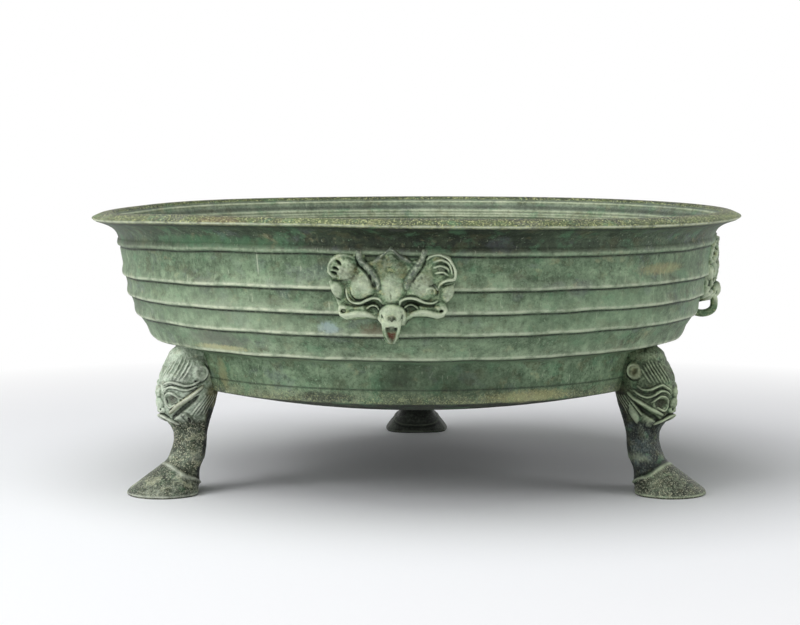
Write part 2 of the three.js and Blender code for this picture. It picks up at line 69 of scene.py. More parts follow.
def eased(value: np.ndarray, low: float, high: float) -> np.ndarray:
    """Rise smoothly from 0 at low to 1 at high."""
    share = np.clip((value - low) / (high - low), 0.0, 1.0)
    return share * share * (3.0 - 2.0 * share)


def squared(wave: np.ndarray, power: float | np.ndarray) -> np.ndarray:
    """Raise a sine or cosine to a power under 1, sign kept, which makes a circle boxier."""
    return np.sign(wave) * np.abs(wave) ** power


def peak(value: np.ndarray, at: float, width: float) -> np.ndarray:
    """Rise to 1 at one value and fall off on both sides as a bell does, to 0.37 a width away."""
    return np.exp(-(((value - at) / width) ** 2))


def waves(across: np.ndarray, up: np.ndarray, size: float, seed: int) -> np.ndarray:
    """Make an uneven field from -1 to 1 out of twelve waves of about one size.

    Args:
        across: place across the surface.
        up: place up the surface.
        size: wavelength of the waves, in the same unit.
        seed: which set of directions and phases is used.

    Returns:
        The mean of twelve sines of (across cos a + up sin a) / size, scaled to stay within 1.
    """
    draw = np.random.default_rng(seed)
    turn, phase = draw.uniform(0.0, 2.0 * math.pi, (2, 12))
    pitch = draw.uniform(0.6, 1.6, 12) * 2.0 * math.pi / size
    course = across[..., None] * np.cos(turn) + up[..., None] * np.sin(turn)
    return np.clip(np.sin(course * pitch + phase).mean(axis=-1) * 2.2, -1.0, 1.0)


def smooth_curve(path: Path, steps: int = 6) -> np.ndarray:
    """Run a smooth curve through the points of a path.

    Args:
        path: the points.
        steps: how many points each span gets.

    Returns:
        Points of a Catmull-Rom spline, whose ends are carried on straight.
    """
    knots = np.asarray(path, float)
    ends = np.vstack([2.0 * knots[0] - knots[1], knots, 2.0 * knots[-1] - knots[-2]])
    a, b, c, d = (ends[None, k : len(ends) - 3 + k] for k in range(4))
    t = np.linspace(0.0, 1.0, steps, endpoint=False)[:, None, None]
    bend, twist = 2.0 * a - 5.0 * b + 4.0 * c - d, 3.0 * b - a - 3.0 * c + d
    spans = 2.0 * b + (c - a) * t + bend * t**2 + twist * t**3
    return np.vstack([0.5 * spans.transpose(1, 0, 2).reshape(-1, knots.shape[1]), knots[-1]])


def blurred(values: np.ndarray, rounds: int) -> np.ndarray:
    """Average each value of a grid with its four neighbours, over and over.

    Args:
        values: the grid.
        rounds: how many times.

    Returns:
        The smoother grid. In a round the value itself counts twice and each neighbour once.
    """
    for _ in range(rounds):
        edged = np.pad(values, 1, mode="edge")
        values = (2.0 * values + edged[2:, 1:-1] + edged[:-2, 1:-1]
                  + edged[1:-1, 2:] + edged[1:-1, :-2]) / 6.0
    return values


def from_line(across: np.ndarray, up: np.ndarray, start: np.ndarray, end: np.ndarray,
              ) -> tuple[np.ndarray, np.ndarray]:
    """Measure how far points are from a straight line.

    Args:
        across: each point's place across.
        up: its place up.
        start: one end of the line.
        end: the other end.

    Returns:
        The distances, and the share of the line at which the nearest places lie.
    """
    run = end - start
    share = np.clip(((across - start[0]) * run[0] + (up - start[1]) * run[1]) / (run @ run), 0.0, 1.0)
    return np.hypot(across - start[0] - share * run[0], up - start[1] - share * run[1]), share


def skin(name: str, rings: np.ndarray, marks: Marks) -> bpy.types.Object:
    """Close a smooth skin over rings of points.

    Point i of ring k is joined to point i + 1 of its ring, the last to the first, and to the same
    two in ring k + 1. Each end is closed by a fan round the middle of its ring.

    Args:
        name: the piece's name.
        rings: points in mm, of shape (rings, points in a ring, 3).
        marks: numbers from 0 to 1 for each point that the finish reads, of shape (rings, points).

    Returns:
        The piece, faces outward, in metres.
    """
    count, sides, _ = rings.shape
    points = np.concatenate([rings.reshape(-1, 3), rings[[0, -1]].mean(axis=1)]) * MM
    k, i = np.meshgrid(np.arange(count - 1), np.arange(sides), indexing="ij")
    j = (i + 1) % sides
    quads = np.stack([k * sides + i, k * sides + j, (k + 1) * sides + j, (k + 1) * sides + i], -1)
    i, j, last = np.arange(sides), (np.arange(sides) + 1) % sides, (count - 1) * sides
    first_fan = np.stack([j, i, np.full(sides, count * sides)], -1)
    last_fan = np.stack([last + i, last + j, np.full(sides, count * sides + 1)], -1)
    quads, fans = quads.reshape(-1, 4), np.vstack([first_fan, last_fan])
    a, b, c = (points[np.vstack([quads[:, :3], quads[:, [0, 2, 3]], fans])[:, n]] for n in range(3))
    if np.einsum("ij,ij->", np.cross(a, b), c) < 0.0:
        quads, fans = quads[:, ::-1], fans[:, ::-1]
    mesh = bpy.data.meshes.new(name)
    mesh.vertices.add(len(points))
    mesh.vertices.foreach_set("co", points.ravel())
    corners = np.concatenate([quads.ravel(), fans.ravel()]).astype(np.int32)
    mesh.loops.add(len(corners))
    mesh.loops.foreach_set("vertex_index", corners)
    starts = np.concatenate([np.arange(len(quads)) * 4, len(quads) * 4 + np.arange(len(fans)) * 3])
    mesh.polygons.add(len(starts))
    mesh.polygons.foreach_set("loop_start", starts.astype(np.int32))
    mesh.update(calc_edges=True)
    mesh.shade_smooth()
    for mark, values in marks.items():
        spread = np.concatenate([values.ravel(), values[[0, -1]].mean(axis=1)])
        mesh.attributes.new(mark, "FLOAT", "POINT").data.foreach_set("value", spread.astype(np.float32))
    piece = bpy.data.objects.new(name, mesh)
    bpy.context.scene.collection.objects.link(piece)
    LOG.info("%s: %d triangles", name, 2 * len(quads) + len(fans))
    return piece


def turned(across: np.ndarray, radius: np.ndarray, height: np.ndarray, azimuth: float) -> np.ndarray:
    """Turn points from the front to an azimuth.

    Args:
        across: their places across.
        radius: their places out from the axis.
        height: their heights.
        azimuth: how far they are turned.

    Returns:
        The points, with x, y and height last.
    """
    turn = math.radians(azimuth)
    x = across * math.cos(turn) + radius * math.sin(turn)
    y = across * math.sin(turn) - radius * math.cos(turn)
    return np.stack([x, y, np.broadcast_to(height, x.shape)], axis=-1)


class Relief:
    """Carving over a patch of surface, as a height in mm at each point of a grid.

    Args:
        across: each point's place across the patch, in mm.
        up: its place up the patch, in mm.
        ground: the height that the carving starts from.
    """

    # How close to its foot a raised form runs into its surroundings by a fillet, in mm.
    MELT = 0.25
    # Half the distance between two notches of a beaded ridge, in mm.
    BEAD = 0.85

    def __init__(self, across: np.ndarray, up: np.ndarray, ground: np.ndarray) -> None:
        """Start with the bare ground."""
        self.across, self.up, self.ground = across, up, ground
        self.height = ground.copy()

    def raise_to(self, level: np.ndarray) -> None:
        """Raise the carving to a level where it is lower, with a small fillet between the two."""
        fillet = np.maximum(self.MELT - np.abs(self.height - level), 0.0) ** 2 / (4.0 * self.MELT)
        self.height = np.where(level > self.ground, np.maximum(self.height, level) + fillet, self.height)

    def nearest(self, path: Path) -> tuple[np.ndarray, np.ndarray, float]:
        """Measure each point's distance from a smooth curve.

        Args:
            path: the points that the curve runs through.

        Returns:
            The distances, how far along the curve the nearest places are (mm), and its length.
        """
        curve = smooth_curve(path, 5)
        gap = np.full(self.across.shape, np.inf)
        along = np.zeros(self.across.shape)
        before = 0.0
        for start, end in zip(curve[:-1], curve[1:]):
            here, share = from_line(self.across, self.up, start, end)
            length = float(np.linalg.norm(end - start))
            along = np.where(here < gap, before + share * length, along)
            gap = np.minimum(gap, here)
            before += length
        return gap, along, before

    def profile(self, path: Path, width: float, taper: float) -> tuple[np.ndarray, np.ndarray]:
        """Give a curve a rounded cross-section.

        Args:
            path: the points that the curve runs through.
            width: its breadth in the middle, in mm.
            taper: how much of its breadth and height is left at its ends.

        Returns:
            How high each point stands, from 0 to 1, and how far along the curve it is (mm).
        """
        gap, along, length = self.nearest(path)
        swell = taper + (1.0 - taper) * np.sqrt(np.sin(math.pi * np.clip(along / length, 0.0, 1.0)))
        x = np.clip(gap / (0.5 * width * swell), 0.0, 1.0)
        return (1.0 - x * x) ** 0.75 * swell, along

    def ridge(self, path: Path, width: float, rise: float, taper: float = 0.45, bead: float = 0.0,
              ) -> None:
        """Raise a rounded ridge along a curve; bead is the depth of the notches across it."""
        shape, along = self.profile(path, width, taper)
        self.raise_to(self.ground + shape * (rise - bead * (0.5 + 0.5 * np.cos(along * math.pi / self.BEAD))))

    def groove(self, path: Path, width: float, depth: float, taper: float = 0.4) -> None:
        """Sink a rounded groove along a curve."""
        self.height -= depth * self.profile(path, width, taper)[0]

    def swell(self, centre: Pair, half: Pair) -> np.ndarray:
        """Give a rounded dome of height 1 over an ellipse."""
        away = ((self.across - centre[0]) / half[0]) ** 2 + ((self.up - centre[1]) / half[1]) ** 2
        return np.sqrt(np.clip(1.0 - away, 0.0, 1.0))

    def mound(self, centre: Pair, half: Pair, rise: float) -> None:
        """Raise the ground softly over an ellipse, before anything is carved on it."""
        bump = rise * eased(self.swell(centre, half) ** 2, 0.0, 0.9)
        self.ground, self.height = self.ground + bump, self.height + bump

    def dome(self, centre: Pair, half: Pair, rise: float) -> None:
        """Raise a dome over an ellipse."""
        self.raise_to(self.ground + rise * self.swell(centre, half))

    def pit(self, centre: Pair, half: Pair, depth: float) -> None:
        """Sink a bowl over an ellipse."""
        self.height -= depth * self.swell(centre, half)

    def marks(self, near: int, step: float, far: int, swing: float) -> Marks:
        """Mark what stands above its surroundings and what lies below them, for wear and for painted
        highlight and shade.

        Args:
            near: over how many rounds the near surroundings are averaged.
            step: the difference in mm from them that counts in full, as crest or crevice.
            far: the same for the far surroundings.
            swing: the difference in mm from those that counts in full, as high or low.

        Returns:
            The four marks, from 0 to 1.
        """
        edge = (self.height - blurred(self.height, near)) / step
        form = (self.height - blurred(self.height, far)) / swing
        return {"crest": np.clip(edge, 0.0, 1.0), "crevice": np.clip(-1.3 * edge, 0.0, 1.0),
                "high": np.clip(form, 0.0, 1.0), "low": np.clip(-form, 0.0, 1.0)}


@dataclass(frozen=True)
class Basin:
    """The bowl with its rounded lip, flare, raised bands, drum and shallow round base.

    Args:
        rim: radius of the lip.
        top: height of the lip's top.
        wall: thickness of the wall.
        edge: radius and height of the drum's lower edge.
        sag: how far the base's middle lies below that edge.
        seam: radius and height of the fine step on the drum.
        drum_top: radius and height of the drum's top.
        bands: radius and height of each raised band's crest, from the shoulder down.
        band_rise: how far a band stands out.
        columns: points round the bowl.
    """

    rim: float
    top: float
    wall: float = 3.0
    edge: Pair = (137.0, 57.0)
    sag: float = 16.0
    seam: Pair = (139.6, 65.5)
    drum_top: Pair = (143.2, 79.4)
    bands: tuple[Pair, ...] = (
        (175.8, 139.0), (172.6, 120.8), (169.8, 108.4), (165.0, 96.6), (155.6, 83.2))
    band_rise: float = 1.5
    columns: int = 432

    # Radius and height of the wall's last points, of the flare's and of the inner face's.
    NECK = [(174.9, 140.0), (174.8, 142.0), (175.6, 144.4)]
    FLARE = [(174.9, 142.4), (175.8, 145.0), (177.5, 147.4), (180.6, 149.5), (184.2, 151.0), (187.6, 152.1)]
    INSIDE = [
        (178.2, 155.0), (177.2, 153.2), (176.0, 151.0), (174.9, 148.6), (174.0, 145.8), (173.3, 143.0),
        (172.7, 139.0), (171.0, 131.0), (168.4, 120.8), (165.6, 108.4), (160.4, 96.6), (151.6, 84.2),
        (142.0, 80.8), (139.0, 74.6), (136.6, 65.5), (133.6, 60.4),
    ]
    # How far the lip's points lie inside the rim and below the top.
    LIP = [
        (1.2, 4.7), (0.4, 4.2), (0.06, 3.6), (0.5, 2.9), (1.7, 2.3), (3.3, 1.6), (5.0, 0.9), (6.8, 0.4),
        (8.4, 0.12), (9.8, 0.12), (10.8, 0.6), (11.5, 1.5),
    ]
    # Heights of the fine ledges inside the lip.
    LEDGES = (153.9, 148.0, 146.1, 144.4)
    # Azimuths, and how far the upper wall and the rim are warped up there.
    WARP = [
        (-180, 0), (-132, -0.5), (-105, -2.2), (-85, -2.5), (-65, -1.8), (-45, 0), (-20, 0.9), (0, 0.2),
        (25, -0.8), (45, -1.6), (75, -1.3), (100, -1.0), (140, 0), (180, 0),
    ]
    # Heights from which to which the warp comes in.
    WARPED = (100.0, 136.0)
    # How high the first band, on the shoulder, stands, and how strong its worn crest and the
    # painted highlight above it are, against the others.
    SHOULDER = (0.6, 0.35)
    # How deep in the wall, and how high over the base's skin, what is buried in them stays.
    BURIED = (1.1, 1.2)
    # Radius of the floor's last row, where the inner face takes over.
    FLOOR = 132.0
    # Heights from which to which the foot's tones end and the flare's begin.
    FOOT, FLARE_FOOT = (58.0, 66.0), (139.8, 140.8)
    # How much the casting's unevenness takes off the radius on average, and how far it moves rows,
    # which happens above the first pair of heights and below the second.
    UNEVEN, LOOSE = (0.12, 0.3), ((70.0, 80.0), (141.0, 147.0))
    # Height up to which the wear changes round the bowl, the least wear, and the azimuth and breadth
    # of the most worn place.
    UNEQUAL, LEAST_WORN, MOST_WORN = 141.0, 0.65, (-30.0, 20.0)
    # The least painted shade on the flare, and the azimuth and breadth of its darkest place.
    LEAST_SOOT, MOST_SOOT = 0.15, (1.0, 30.0)

    def plain(self, height: np.ndarray) -> np.ndarray:
        """Give the wall's radius without the bands.

        Args:
            height: heights.

        Returns:
            The radius there, straight from the foot of one band to that of the next.
        """
        feet = [(r - self.band_rise, z - 1.0) for r, z in reversed(self.bands)]
        knots = np.array([self.edge, self.seam, self.drum_top, *feet, *self.NECK])
        return np.interp(height, knots[:, 1], knots[:, 0])

    def band_lift(self, height: np.ndarray) -> tuple[np.ndarray, np.ndarray, np.ndarray]:
        """Give what the bands add to the wall at a height.

        Args:
            height: heights, in mm.

        Returns:
            The outward lift in mm, and the crest and crevice marks. Each band rises in 0.9 mm
            from a fine groove, is full up to 1.6 mm above its foot and has run out at 8 mm.
        """
        lift, crest, crevice = (np.zeros_like(height) for _ in range(3))
        for k, (_, level) in enumerate(self.bands):
            rise, shine = (1.0, 1.0) if k else self.SHOULDER
            t = height - (level - 1.0)
            body = eased(t, -0.1, 0.8) * (1.0 - eased(t, 1.6, 8.0))
            lift += rise * self.band_rise * body - 0.5 * peak(t, -0.5, 0.45)
            # Crest: the worn crest line, and painted highlight that fades up the band above it.
            crest += shine * (peak(t, 1.1, 0.75) + 0.4 * (t > 1.1) * np.exp(-(t - 1.1) / 3.6))
            # Crevice: painted shade in the groove under each band, and fading down below it.
            crevice += peak(t, -0.35, 0.5) + 0.22 * (t < -0.4) * np.exp((t + 0.4) / 2.4)
        return lift, np.clip(crest, 0.0, 1.0), np.clip(crevice, 0.0, 1.0)

    def levels(self) -> np.ndarray:
        """Give the heights of the wall's rows.

        Returns:
            The heights, close together at each band and at the step on the drum.
        """
        near_edge = np.array([
            57.4, 58.2, 60.0, 62.0, 64.0, 64.9, 65.2, 65.5, 66.2, 68.0, 71.0, 74.0, 77.0, 78.8])
        near_band = np.array([-4.4, -2.4, -1.8, -1.5, -1.25, -1.0, -0.7, -0.3, 0.1, 0.6, 1.3, 2.1, 3.4, 5.4])
        between = [89.5, 91.5, 102.0, 104.0, 114.5, 117.0, 128.0, 130.5, 133.5]
        rows = [near_edge, between, *[level + near_band for _, level in self.bands]]
        return np.unique(np.clip(np.concatenate(rows), 57.4, 142.0))

    def outline(self) -> tuple[np.ndarray, Marks]:
        """Draw the closed outline of the wall, from the base's middle over the lip to the floor's.

        Returns:
            Points (radius, height), and for each point its marks, from 0 to 1.
        """
        share = np.linspace(0.02, 0.99, 12)
        base = np.stack([share * self.edge[0], self.edge[1] - self.sag * (1.0 - share**2)], -1)
        levels = self.levels()
        lift, crest, crevice = self.band_lift(levels)
        side = np.stack([self.plain(levels) + lift, levels], -1)
        crevice = np.maximum(crevice, 0.8 * peak(levels, self.seam[1] - 0.5, 0.4))
        flare = smooth_curve(self.FLARE, 3)
        lip = smooth_curve([(self.rim - inset, self.top - drop) for inset, drop in self.LIP], 2)
        inner = smooth_curve(self.INSIDE, 5)
        ledge = np.clip(sum(peak(inner[:, 1], z, 0.7) for z in self.LEDGES), 0.0, 1.0)
        inner[:, 0] -= 0.6 * ledge
        floor = base[::-1] + (0.0, self.wall)
        floor = floor[floor[:, 0] < self.FLOOR]
        parts = [base, side, flare, lip, inner, floor]
        starts = np.cumsum([0] + [len(part) for part in parts])
        on_base, on_side, on_flare, on_lip, on_inner = (slice(*starts[k : k + 2]) for k in range(5))
        points = np.vstack(parts)
        names = ("crest", "crevice", "flare", "lip", "ledge", "inside", "foot", "base")
        marks = {name: np.zeros(len(points)) for name in names}
        marks["base"][on_base] = 1.0
        marks["crest"][on_side] = crest
        marks["crevice"][on_side] = crevice
        marks["foot"][on_side] = 1.0 - eased(levels, *self.FOOT)
        marks["flare"][on_side] = eased(levels, *self.FLARE_FOOT)
        marks["flare"][on_flare] = 1.0
        # Painted shadow on the flare just under the lip.
        marks["crevice"][on_flare][-3:] = 0.6
        marks["lip"][on_lip] = 1.0
        marks["crest"][on_lip] = peak(lip[:, 1], self.top - 4.1, 0.55)
        marks["crevice"][on_lip] = 0.75 * eased(lip[:, 1], self.top - 1.6, self.top - 0.4)
        marks["ledge"][on_inner] = ledge
        marks["inside"][starts[4] :] = 1.0
        # The inner face is dark between the ledges and just under the lip.
        deep = inner[:, 1]
        sunk = peak(deep, 150.4, 1.5) + (deep < 148.6) * (deep > 143.6)
        sunk = np.maximum(sunk, eased(deep, 154.3, 154.8))
        marks["crevice"][on_inner] = np.clip(0.7 * sunk * (1.0 - 1.4 * ledge), 0.0, 1.0)
        return points, marks

    def build(self) -> bpy.types.Object:
        """Turn the outline round the axis.

        Returns:
            The bowl. The casting's unevenness takes up to 0.24 mm off its radius and moves its rows
            by up to 0.3 mm, the upper part is warped up and down round the rim, and two marks
            change round it: the bands are most worn at the left of the front, and the flare gets
            painted shade, darkest at the front.
        """
        points, marks = self.outline()
        turn = np.linspace(0.0, 2.0 * math.pi, self.columns, endpoint=False)[None]
        radius, height = points[:, :1], points[:, 1:]
        around = np.stack(np.broadcast_arrays(150.0 * np.cos(turn), 150.0 * np.sin(turn) + 1.3 * height))
        uneven, shifted = self.UNEVEN
        radius = radius - (uneven + uneven * waves(*around, 60.0, 3)) * np.minimum(1.0, radius / 100.0)
        loose = eased(height, *self.LOOSE[0]) * (1.0 - eased(height, *self.LOOSE[1]))
        height = height + shifted * waves(*around, 42.0, 5) * loose
        azimuth = np.degrees(np.arctan2(np.sin(turn), np.cos(turn)))
        warp = smooth_curve(self.WARP, 8)
        height = height + np.interp(azimuth, warp[:, 0], warp[:, 1]) * eased(points[:, 1:], *self.WARPED)
        height = np.minimum(height, self.top)
        rings = np.stack([radius * np.sin(turn), -radius * np.cos(turn), height], -1)
        spread = {name: np.repeat(values[:, None], self.columns, axis=1) for name, values in marks.items()}
        wear = self.LEAST_WORN + (1.0 - self.LEAST_WORN) * peak(azimuth, *self.MOST_WORN)
        worn = np.where(height < self.UNEQUAL, wear, 1.0)
        spread["crest"] = spread["crest"] * worn
        # Painted shade on the flare, darkest at the front.
        flare_shade = self.LEAST_SOOT + (1.0 - self.LEAST_SOOT) * peak(azimuth, *self.MOST_SOOT)
        spread["flare_shade"] = spread["flare"] * flare_shade
        return skin("bowl", rings, spread)

    def seated(self, across: np.ndarray, radius: np.ndarray, height: np.ndarray,
               ) -> tuple[np.ndarray, np.ndarray]:
        """Hold what would reach into the bowl's hollow back inside its metal.

        Args:
            across: places across from the piece's own middle.
            radius: places out from the axis, on the piece's own middle line.
            height: heights.

        Returns:
            The new radius and height: above the edge a point goes out to just under the wall's
            surface, and under the base it goes down to just inside the base.
        """
        away = np.hypot(across, radius)
        base = self.edge[1] - self.sag * (1.0 - np.minimum(away / self.edge[0], 1.0) ** 2)
        above = height > self.edge[1]
        skin_radius = self.plain(height) - self.BURIED[0]
        out = np.sqrt(np.maximum(skin_radius**2 - across**2, 0.0))
        radius = np.where(above & (away < skin_radius), out, radius)
        height = np.where(~above & (away < self.edge[0]), np.minimum(height, base + self.BURIED[1]), height)
        return radius, height


@dataclass(frozen=True)
class MaskMould:
    """The mould of the four masks: a beast's face over a loop that a ring once hung from.

    Args:
        bowl: the bowl that carries the masks.
        level: height of the face's middle.
        cover: how far the face's ground stands off the wall, to cover the bands.
        columns: points across the face.
        rows: points up its front.
        back_rows: points down its back.
        half_width: how far its grid reaches to each side of its middle.
        reach: how far its grid reaches below and above its middle.
        buried: how deep its back lies under the wall's surface.
    """

    bowl: Basin
    level: float = 118.5
    cover: float = 0.7
    columns: int = 300
    rows: int = 196
    back_rows: int = 16
    half_width: float = 35.0
    reach: Pair = (-20.5, 25.8)
    buried: float = 1.5

    # Places across and above the face's middle: its edge, clockwise from the left ear.
    EDGE = [
        (-33.4, 14), (-31.4, 18.5), (-26, 21.6), (-19.5, 20.6), (-17.6, 23.6), (-14.6, 23.2), (-12.4, 17.2),
        (-9.6, 17.6), (-4.6, 21.4), (-0.2, 25), (3.8, 22), (10, 17.8), (13.4, 18.4), (15, 23.6), (18.4, 23.4),
        (19.4, 20.8), (24.4, 21.8), (29.4, 19.6), (33.4, 12), (33, 6.6), (32.2, 2.4), (31, -1.8), (28.6, -5),
        (29.2, -8.8), (27, -12.4), (23, -13.8), (18, -12.4), (11, -12.4), (8.6, -13.6), (6.4, -16.6),
        (-5.2, -16.6), (-8, -13.6), (-13, -13.2), (-20, -14.2), (-24.6, -14.4), (-28.4, -11.6),
        (-28.6, -6.4), (-30, -2), (-32.8, 2.8), (-33.2, 6.4), (-31.4, 8.2), (-33.6, 10.6),
    ]
    # The lines of the carving, left ones first.
    CREST = [(-9.1, 16.7), (-5.0, 20.1), (-0.2, 23.4), (3.6, 20.4), (9.7, 16.8)]
    HORNS = (
        [(-15.9, 23.1), (-16.1, 19.1), (-14.4, 15.8), (-11.1, 13.3), (-8.5, 9.7), (-7.0, 6.2), (-6.6, 3.2)],
        [(16.5, 23.1), (15.6, 19.9), (14.0, 16.5), (12.1, 13.3), (9.7, 9.7), (8.1, 6.4), (7.6, 3.6)],
    )
    BROWS = (
        [(-22.9, 2.6), (-22.5, -1.2), (-20.4, -4.1), (-16.1, -4.7), (-12.4, -3.0), (-9.0, -1.9),
         (-6.4, -2.2), (-4.9, -3.6)],
        [(4.1, -5.8), (4.6, -3.6), (6.4, -2.3), (9.2, -1.8), (12.8, -2.5), (16.6, -4.2), (20.6, -4.5),
         (23.2, -3.4)],
    )
    LIDS = (
        [(-12.7, -7.6), (-11.3, -6.3), (-9.4, -5.7), (-7.4, -6.2), (-6.4, -7.9)],
        [(6.3, -7.0), (8.0, -5.6), (9.9, -5.2), (11.8, -6.0), (13.3, -7.5)],
    )
    WHISKERS = (
        [(-9.6, -11.2), (-14.0, -10.3), (-18.6, -10.3), (-22.6, -11.3), (-25.6, -11.3), (-27.4, -9.4),
         (-26.4, -7.3), (-23.6, -7.0)],
        [(9.6, -10.6), (13.4, -9.6), (17.4, -9.6), (21.0, -10.6), (24.2, -11.2), (26.8, -10.0), (27.2, -7.9),
         (25.2, -6.6)],
    )
    LEFT_EAR = [
        (-18.4, 18.3), (-22.7, 20.4), (-27.8, 19.3), (-31.1, 16.1), (-32.2, 12.3), (-30.8, 9.4), (-27.4, 8.6)]
    RIGHT_EAR = [
        (17.5, 17.8), (20.3, 20.0), (24.1, 20.4), (28.0, 18.6), (31.0, 14.6), (32.2, 10.0), (31.2, 7.6),
        (27.9, 7.2), (24.6, 5.4), (23.3, 2.9)]
    RIGHT_EAR_RIBS = (
        ([(20.8, 16.3), (24.3, 17.6), (27.9, 16.2), (29.6, 13.1), (30.2, 10.4)], 1.3),
        ([(20.8, 13.6), (24.3, 14.6), (27.6, 13.4), (28.6, 11.8)], 1.3),
        ([(21.8, 10.8), (25.4, 11.4), (28.3, 9.7)], 1.2),
    )
    # Height of the ground along the face's middle: places above its centre, and the rise there.
    MIDDLE = ([-17.0, -12.0, -5.0, 1.5, 11.5, 17.0, 24.0], [4.4, 4.6, 3.9, 3.4, 1.7, 0.7, 0.2])
    # Centre, half axes and rise of the broad forms: forehead, cheeks, ears, lobes and jowls.
    FORMS = (
        ((0.0, 6.0), (8.6, 14.0), 1.3), ((-15.6, 2.0), (8.4, 6.4), 2.1), ((14.6, 2.0), (8.4, 6.4), 2.0),
        ((-13.6, 9.0), (6.0, 7.0), 0.9), ((16.0, 9.4), (6.0, 7.0), 0.9), ((-24.0, 12.6), (8.6, 9.0), 1.2),
        ((25.4, 12.6), (8.6, 9.4), 1.2), ((-28.0, 1.8), (4.6, 5.4), 2.0), ((28.8, 0.2), (4.6, 5.2), 1.9),
        ((-18.0, -9.0), (11.0, 4.4), 1.2), ((18.4, -8.6), (10.6, 4.4), 1.2), ((24.6, -6.4), (3.4, 2.6), 1.2),
    )
    # Centre and half axes of the places that are pale, dark or brown: painted highlights on the
    # broad forms, painted shade on the ground by the crest and in the snout's middle and above its
    # lip, and, with how strong they are, the brown stains.
    PAINTED_HIGHLIGHTS = (((0.4, 3.6), (5.4, 8.0)), ((-14.4, 5.0), (6.4, 6.4)), ((15.0, 5.0), (6.4, 6.4)),
            ((-28.4, 1.6), (3.6, 4.6)), ((29.0, 0.4), (3.4, 4.4)), ((-23.0, 10.4), (4.6, 4.0)))
    SHADED = (((4.6, 17.4), (6.6, 4.6)), ((-4.8, 16.0), (5.0, 3.8)))
    MUZZLE_SHADE = (((0.6, -12.8), (2.3, 2.7)), ((0.5, -14.6), (3.8, 0.9)))
    BROWN = (((-4.6, 13.0), (3.6, 5.0), 1.0), ((5.0, 12.0), (3.4, 5.0), 1.0),
             ((18.0, 9.0), (3.4, 5.0), 0.8), ((-19.0, 11.0), (3.0, 5.0), 0.8))
    # The loop's middle line (radius, height); shares of the way along it, and half its width there;
    # heights, and half the mouth's width there.
    LOOP = [(168.6, 107.6), (172.4, 107.0), (174.6, 104.8), (175.3, 101.2), (174.5, 97.6), (171.6, 95.4),
            (167.6, 94.8), (162.9, 95.8)]
    LOOP_WIDTHS = ([0.0, 0.25, 0.55, 0.8, 1.0], [5.0, 5.4, 4.2, 2.8, 2.2])
    MOUTH = ([92.6, 96.4, 101.6, 102.6], [0.0, 1.9, 3.3, 0.0])
    # Half the loop's thickness, how deep the mouth is, its place across, and the radius beyond which
    # the loop is its front.
    LOOP_HALF, MOUTH_DEPTH, MOUTH_MIDDLE, LOOP_FRONT = 2.1, 1.8, 0.2, 170.0

    def inside_edge(self, across: np.ndarray, up: np.ndarray) -> np.ndarray:
        """Measure how far inside the face's edge points are.

        Args:
            across: their places across the face.
            up: their places above its middle.

        Returns:
            The distances in mm from the nearest line of the edge, negative outside. A point is
            inside where a level line from it crosses the edge an odd number of times.
        """
        edge = np.array(self.EDGE, float)
        gap = np.full(across.shape, np.inf)
        within = np.zeros(across.shape, bool)
        for start, end in zip(edge, np.roll(edge, -1, axis=0)):
            run = end - start
            gap = np.minimum(gap, from_line(across, up, start, end)[0])
            spans = (start[1] > up) != (end[1] > up)
            crossing = start[0] + (up - start[1]) * run[0] / (run[1] if run[1] else 1e-9)
            within ^= spans & (across < crossing)
        return np.where(within, gap, -gap)

    def carve(self, across: np.ndarray, up: np.ndarray) -> tuple[Relief, Marks]:
        """Carve the face.

        Args:
            across: places across the face.
            up: places above its middle.

        Returns:
            The relief, and the marks of the brown places and of the dark horns and crest.
        """
        inner = eased(self.inside_edge(across, up), -0.9, 1.5)
        body = 0.3 + np.interp(up, *self.MIDDLE) * peak(across, 0.0, 12.0) + 0.9 * peak(up, -3.0, 10.0)
        face = Relief(across, up, body)
        self._model(face)
        self._carve_top(face)
        self._carve_cheeks(face)
        self._carve_snout(face)
        face.height += 0.14 * waves(across, up, 3.6, 14) + 0.1 * waves(across, up, 1.7, 15)
        face.height = blurred(face.height * inner - 2.2 * (1.0 - inner), 4)
        brown = sum(share * face.swell(centre, half) for centre, half, share in self.BROWN)
        horns = face.profile(self.HORNS[0], 4.2, 0.8)[0] + face.profile(self.HORNS[1], 4.6, 0.8)[0]
        crest = face.profile(self.CREST, 3.0, 0.8)[0]
        return face, {"stain": np.clip(brown, 0.0, 1.0), "horn": np.clip(horns + crest, 0.0, 1.0)}

    def _model(self, face: Relief) -> None:
        """Model the face's broad forms."""
        for centre, half, rise in self.FORMS:
            face.mound(centre, half, rise)

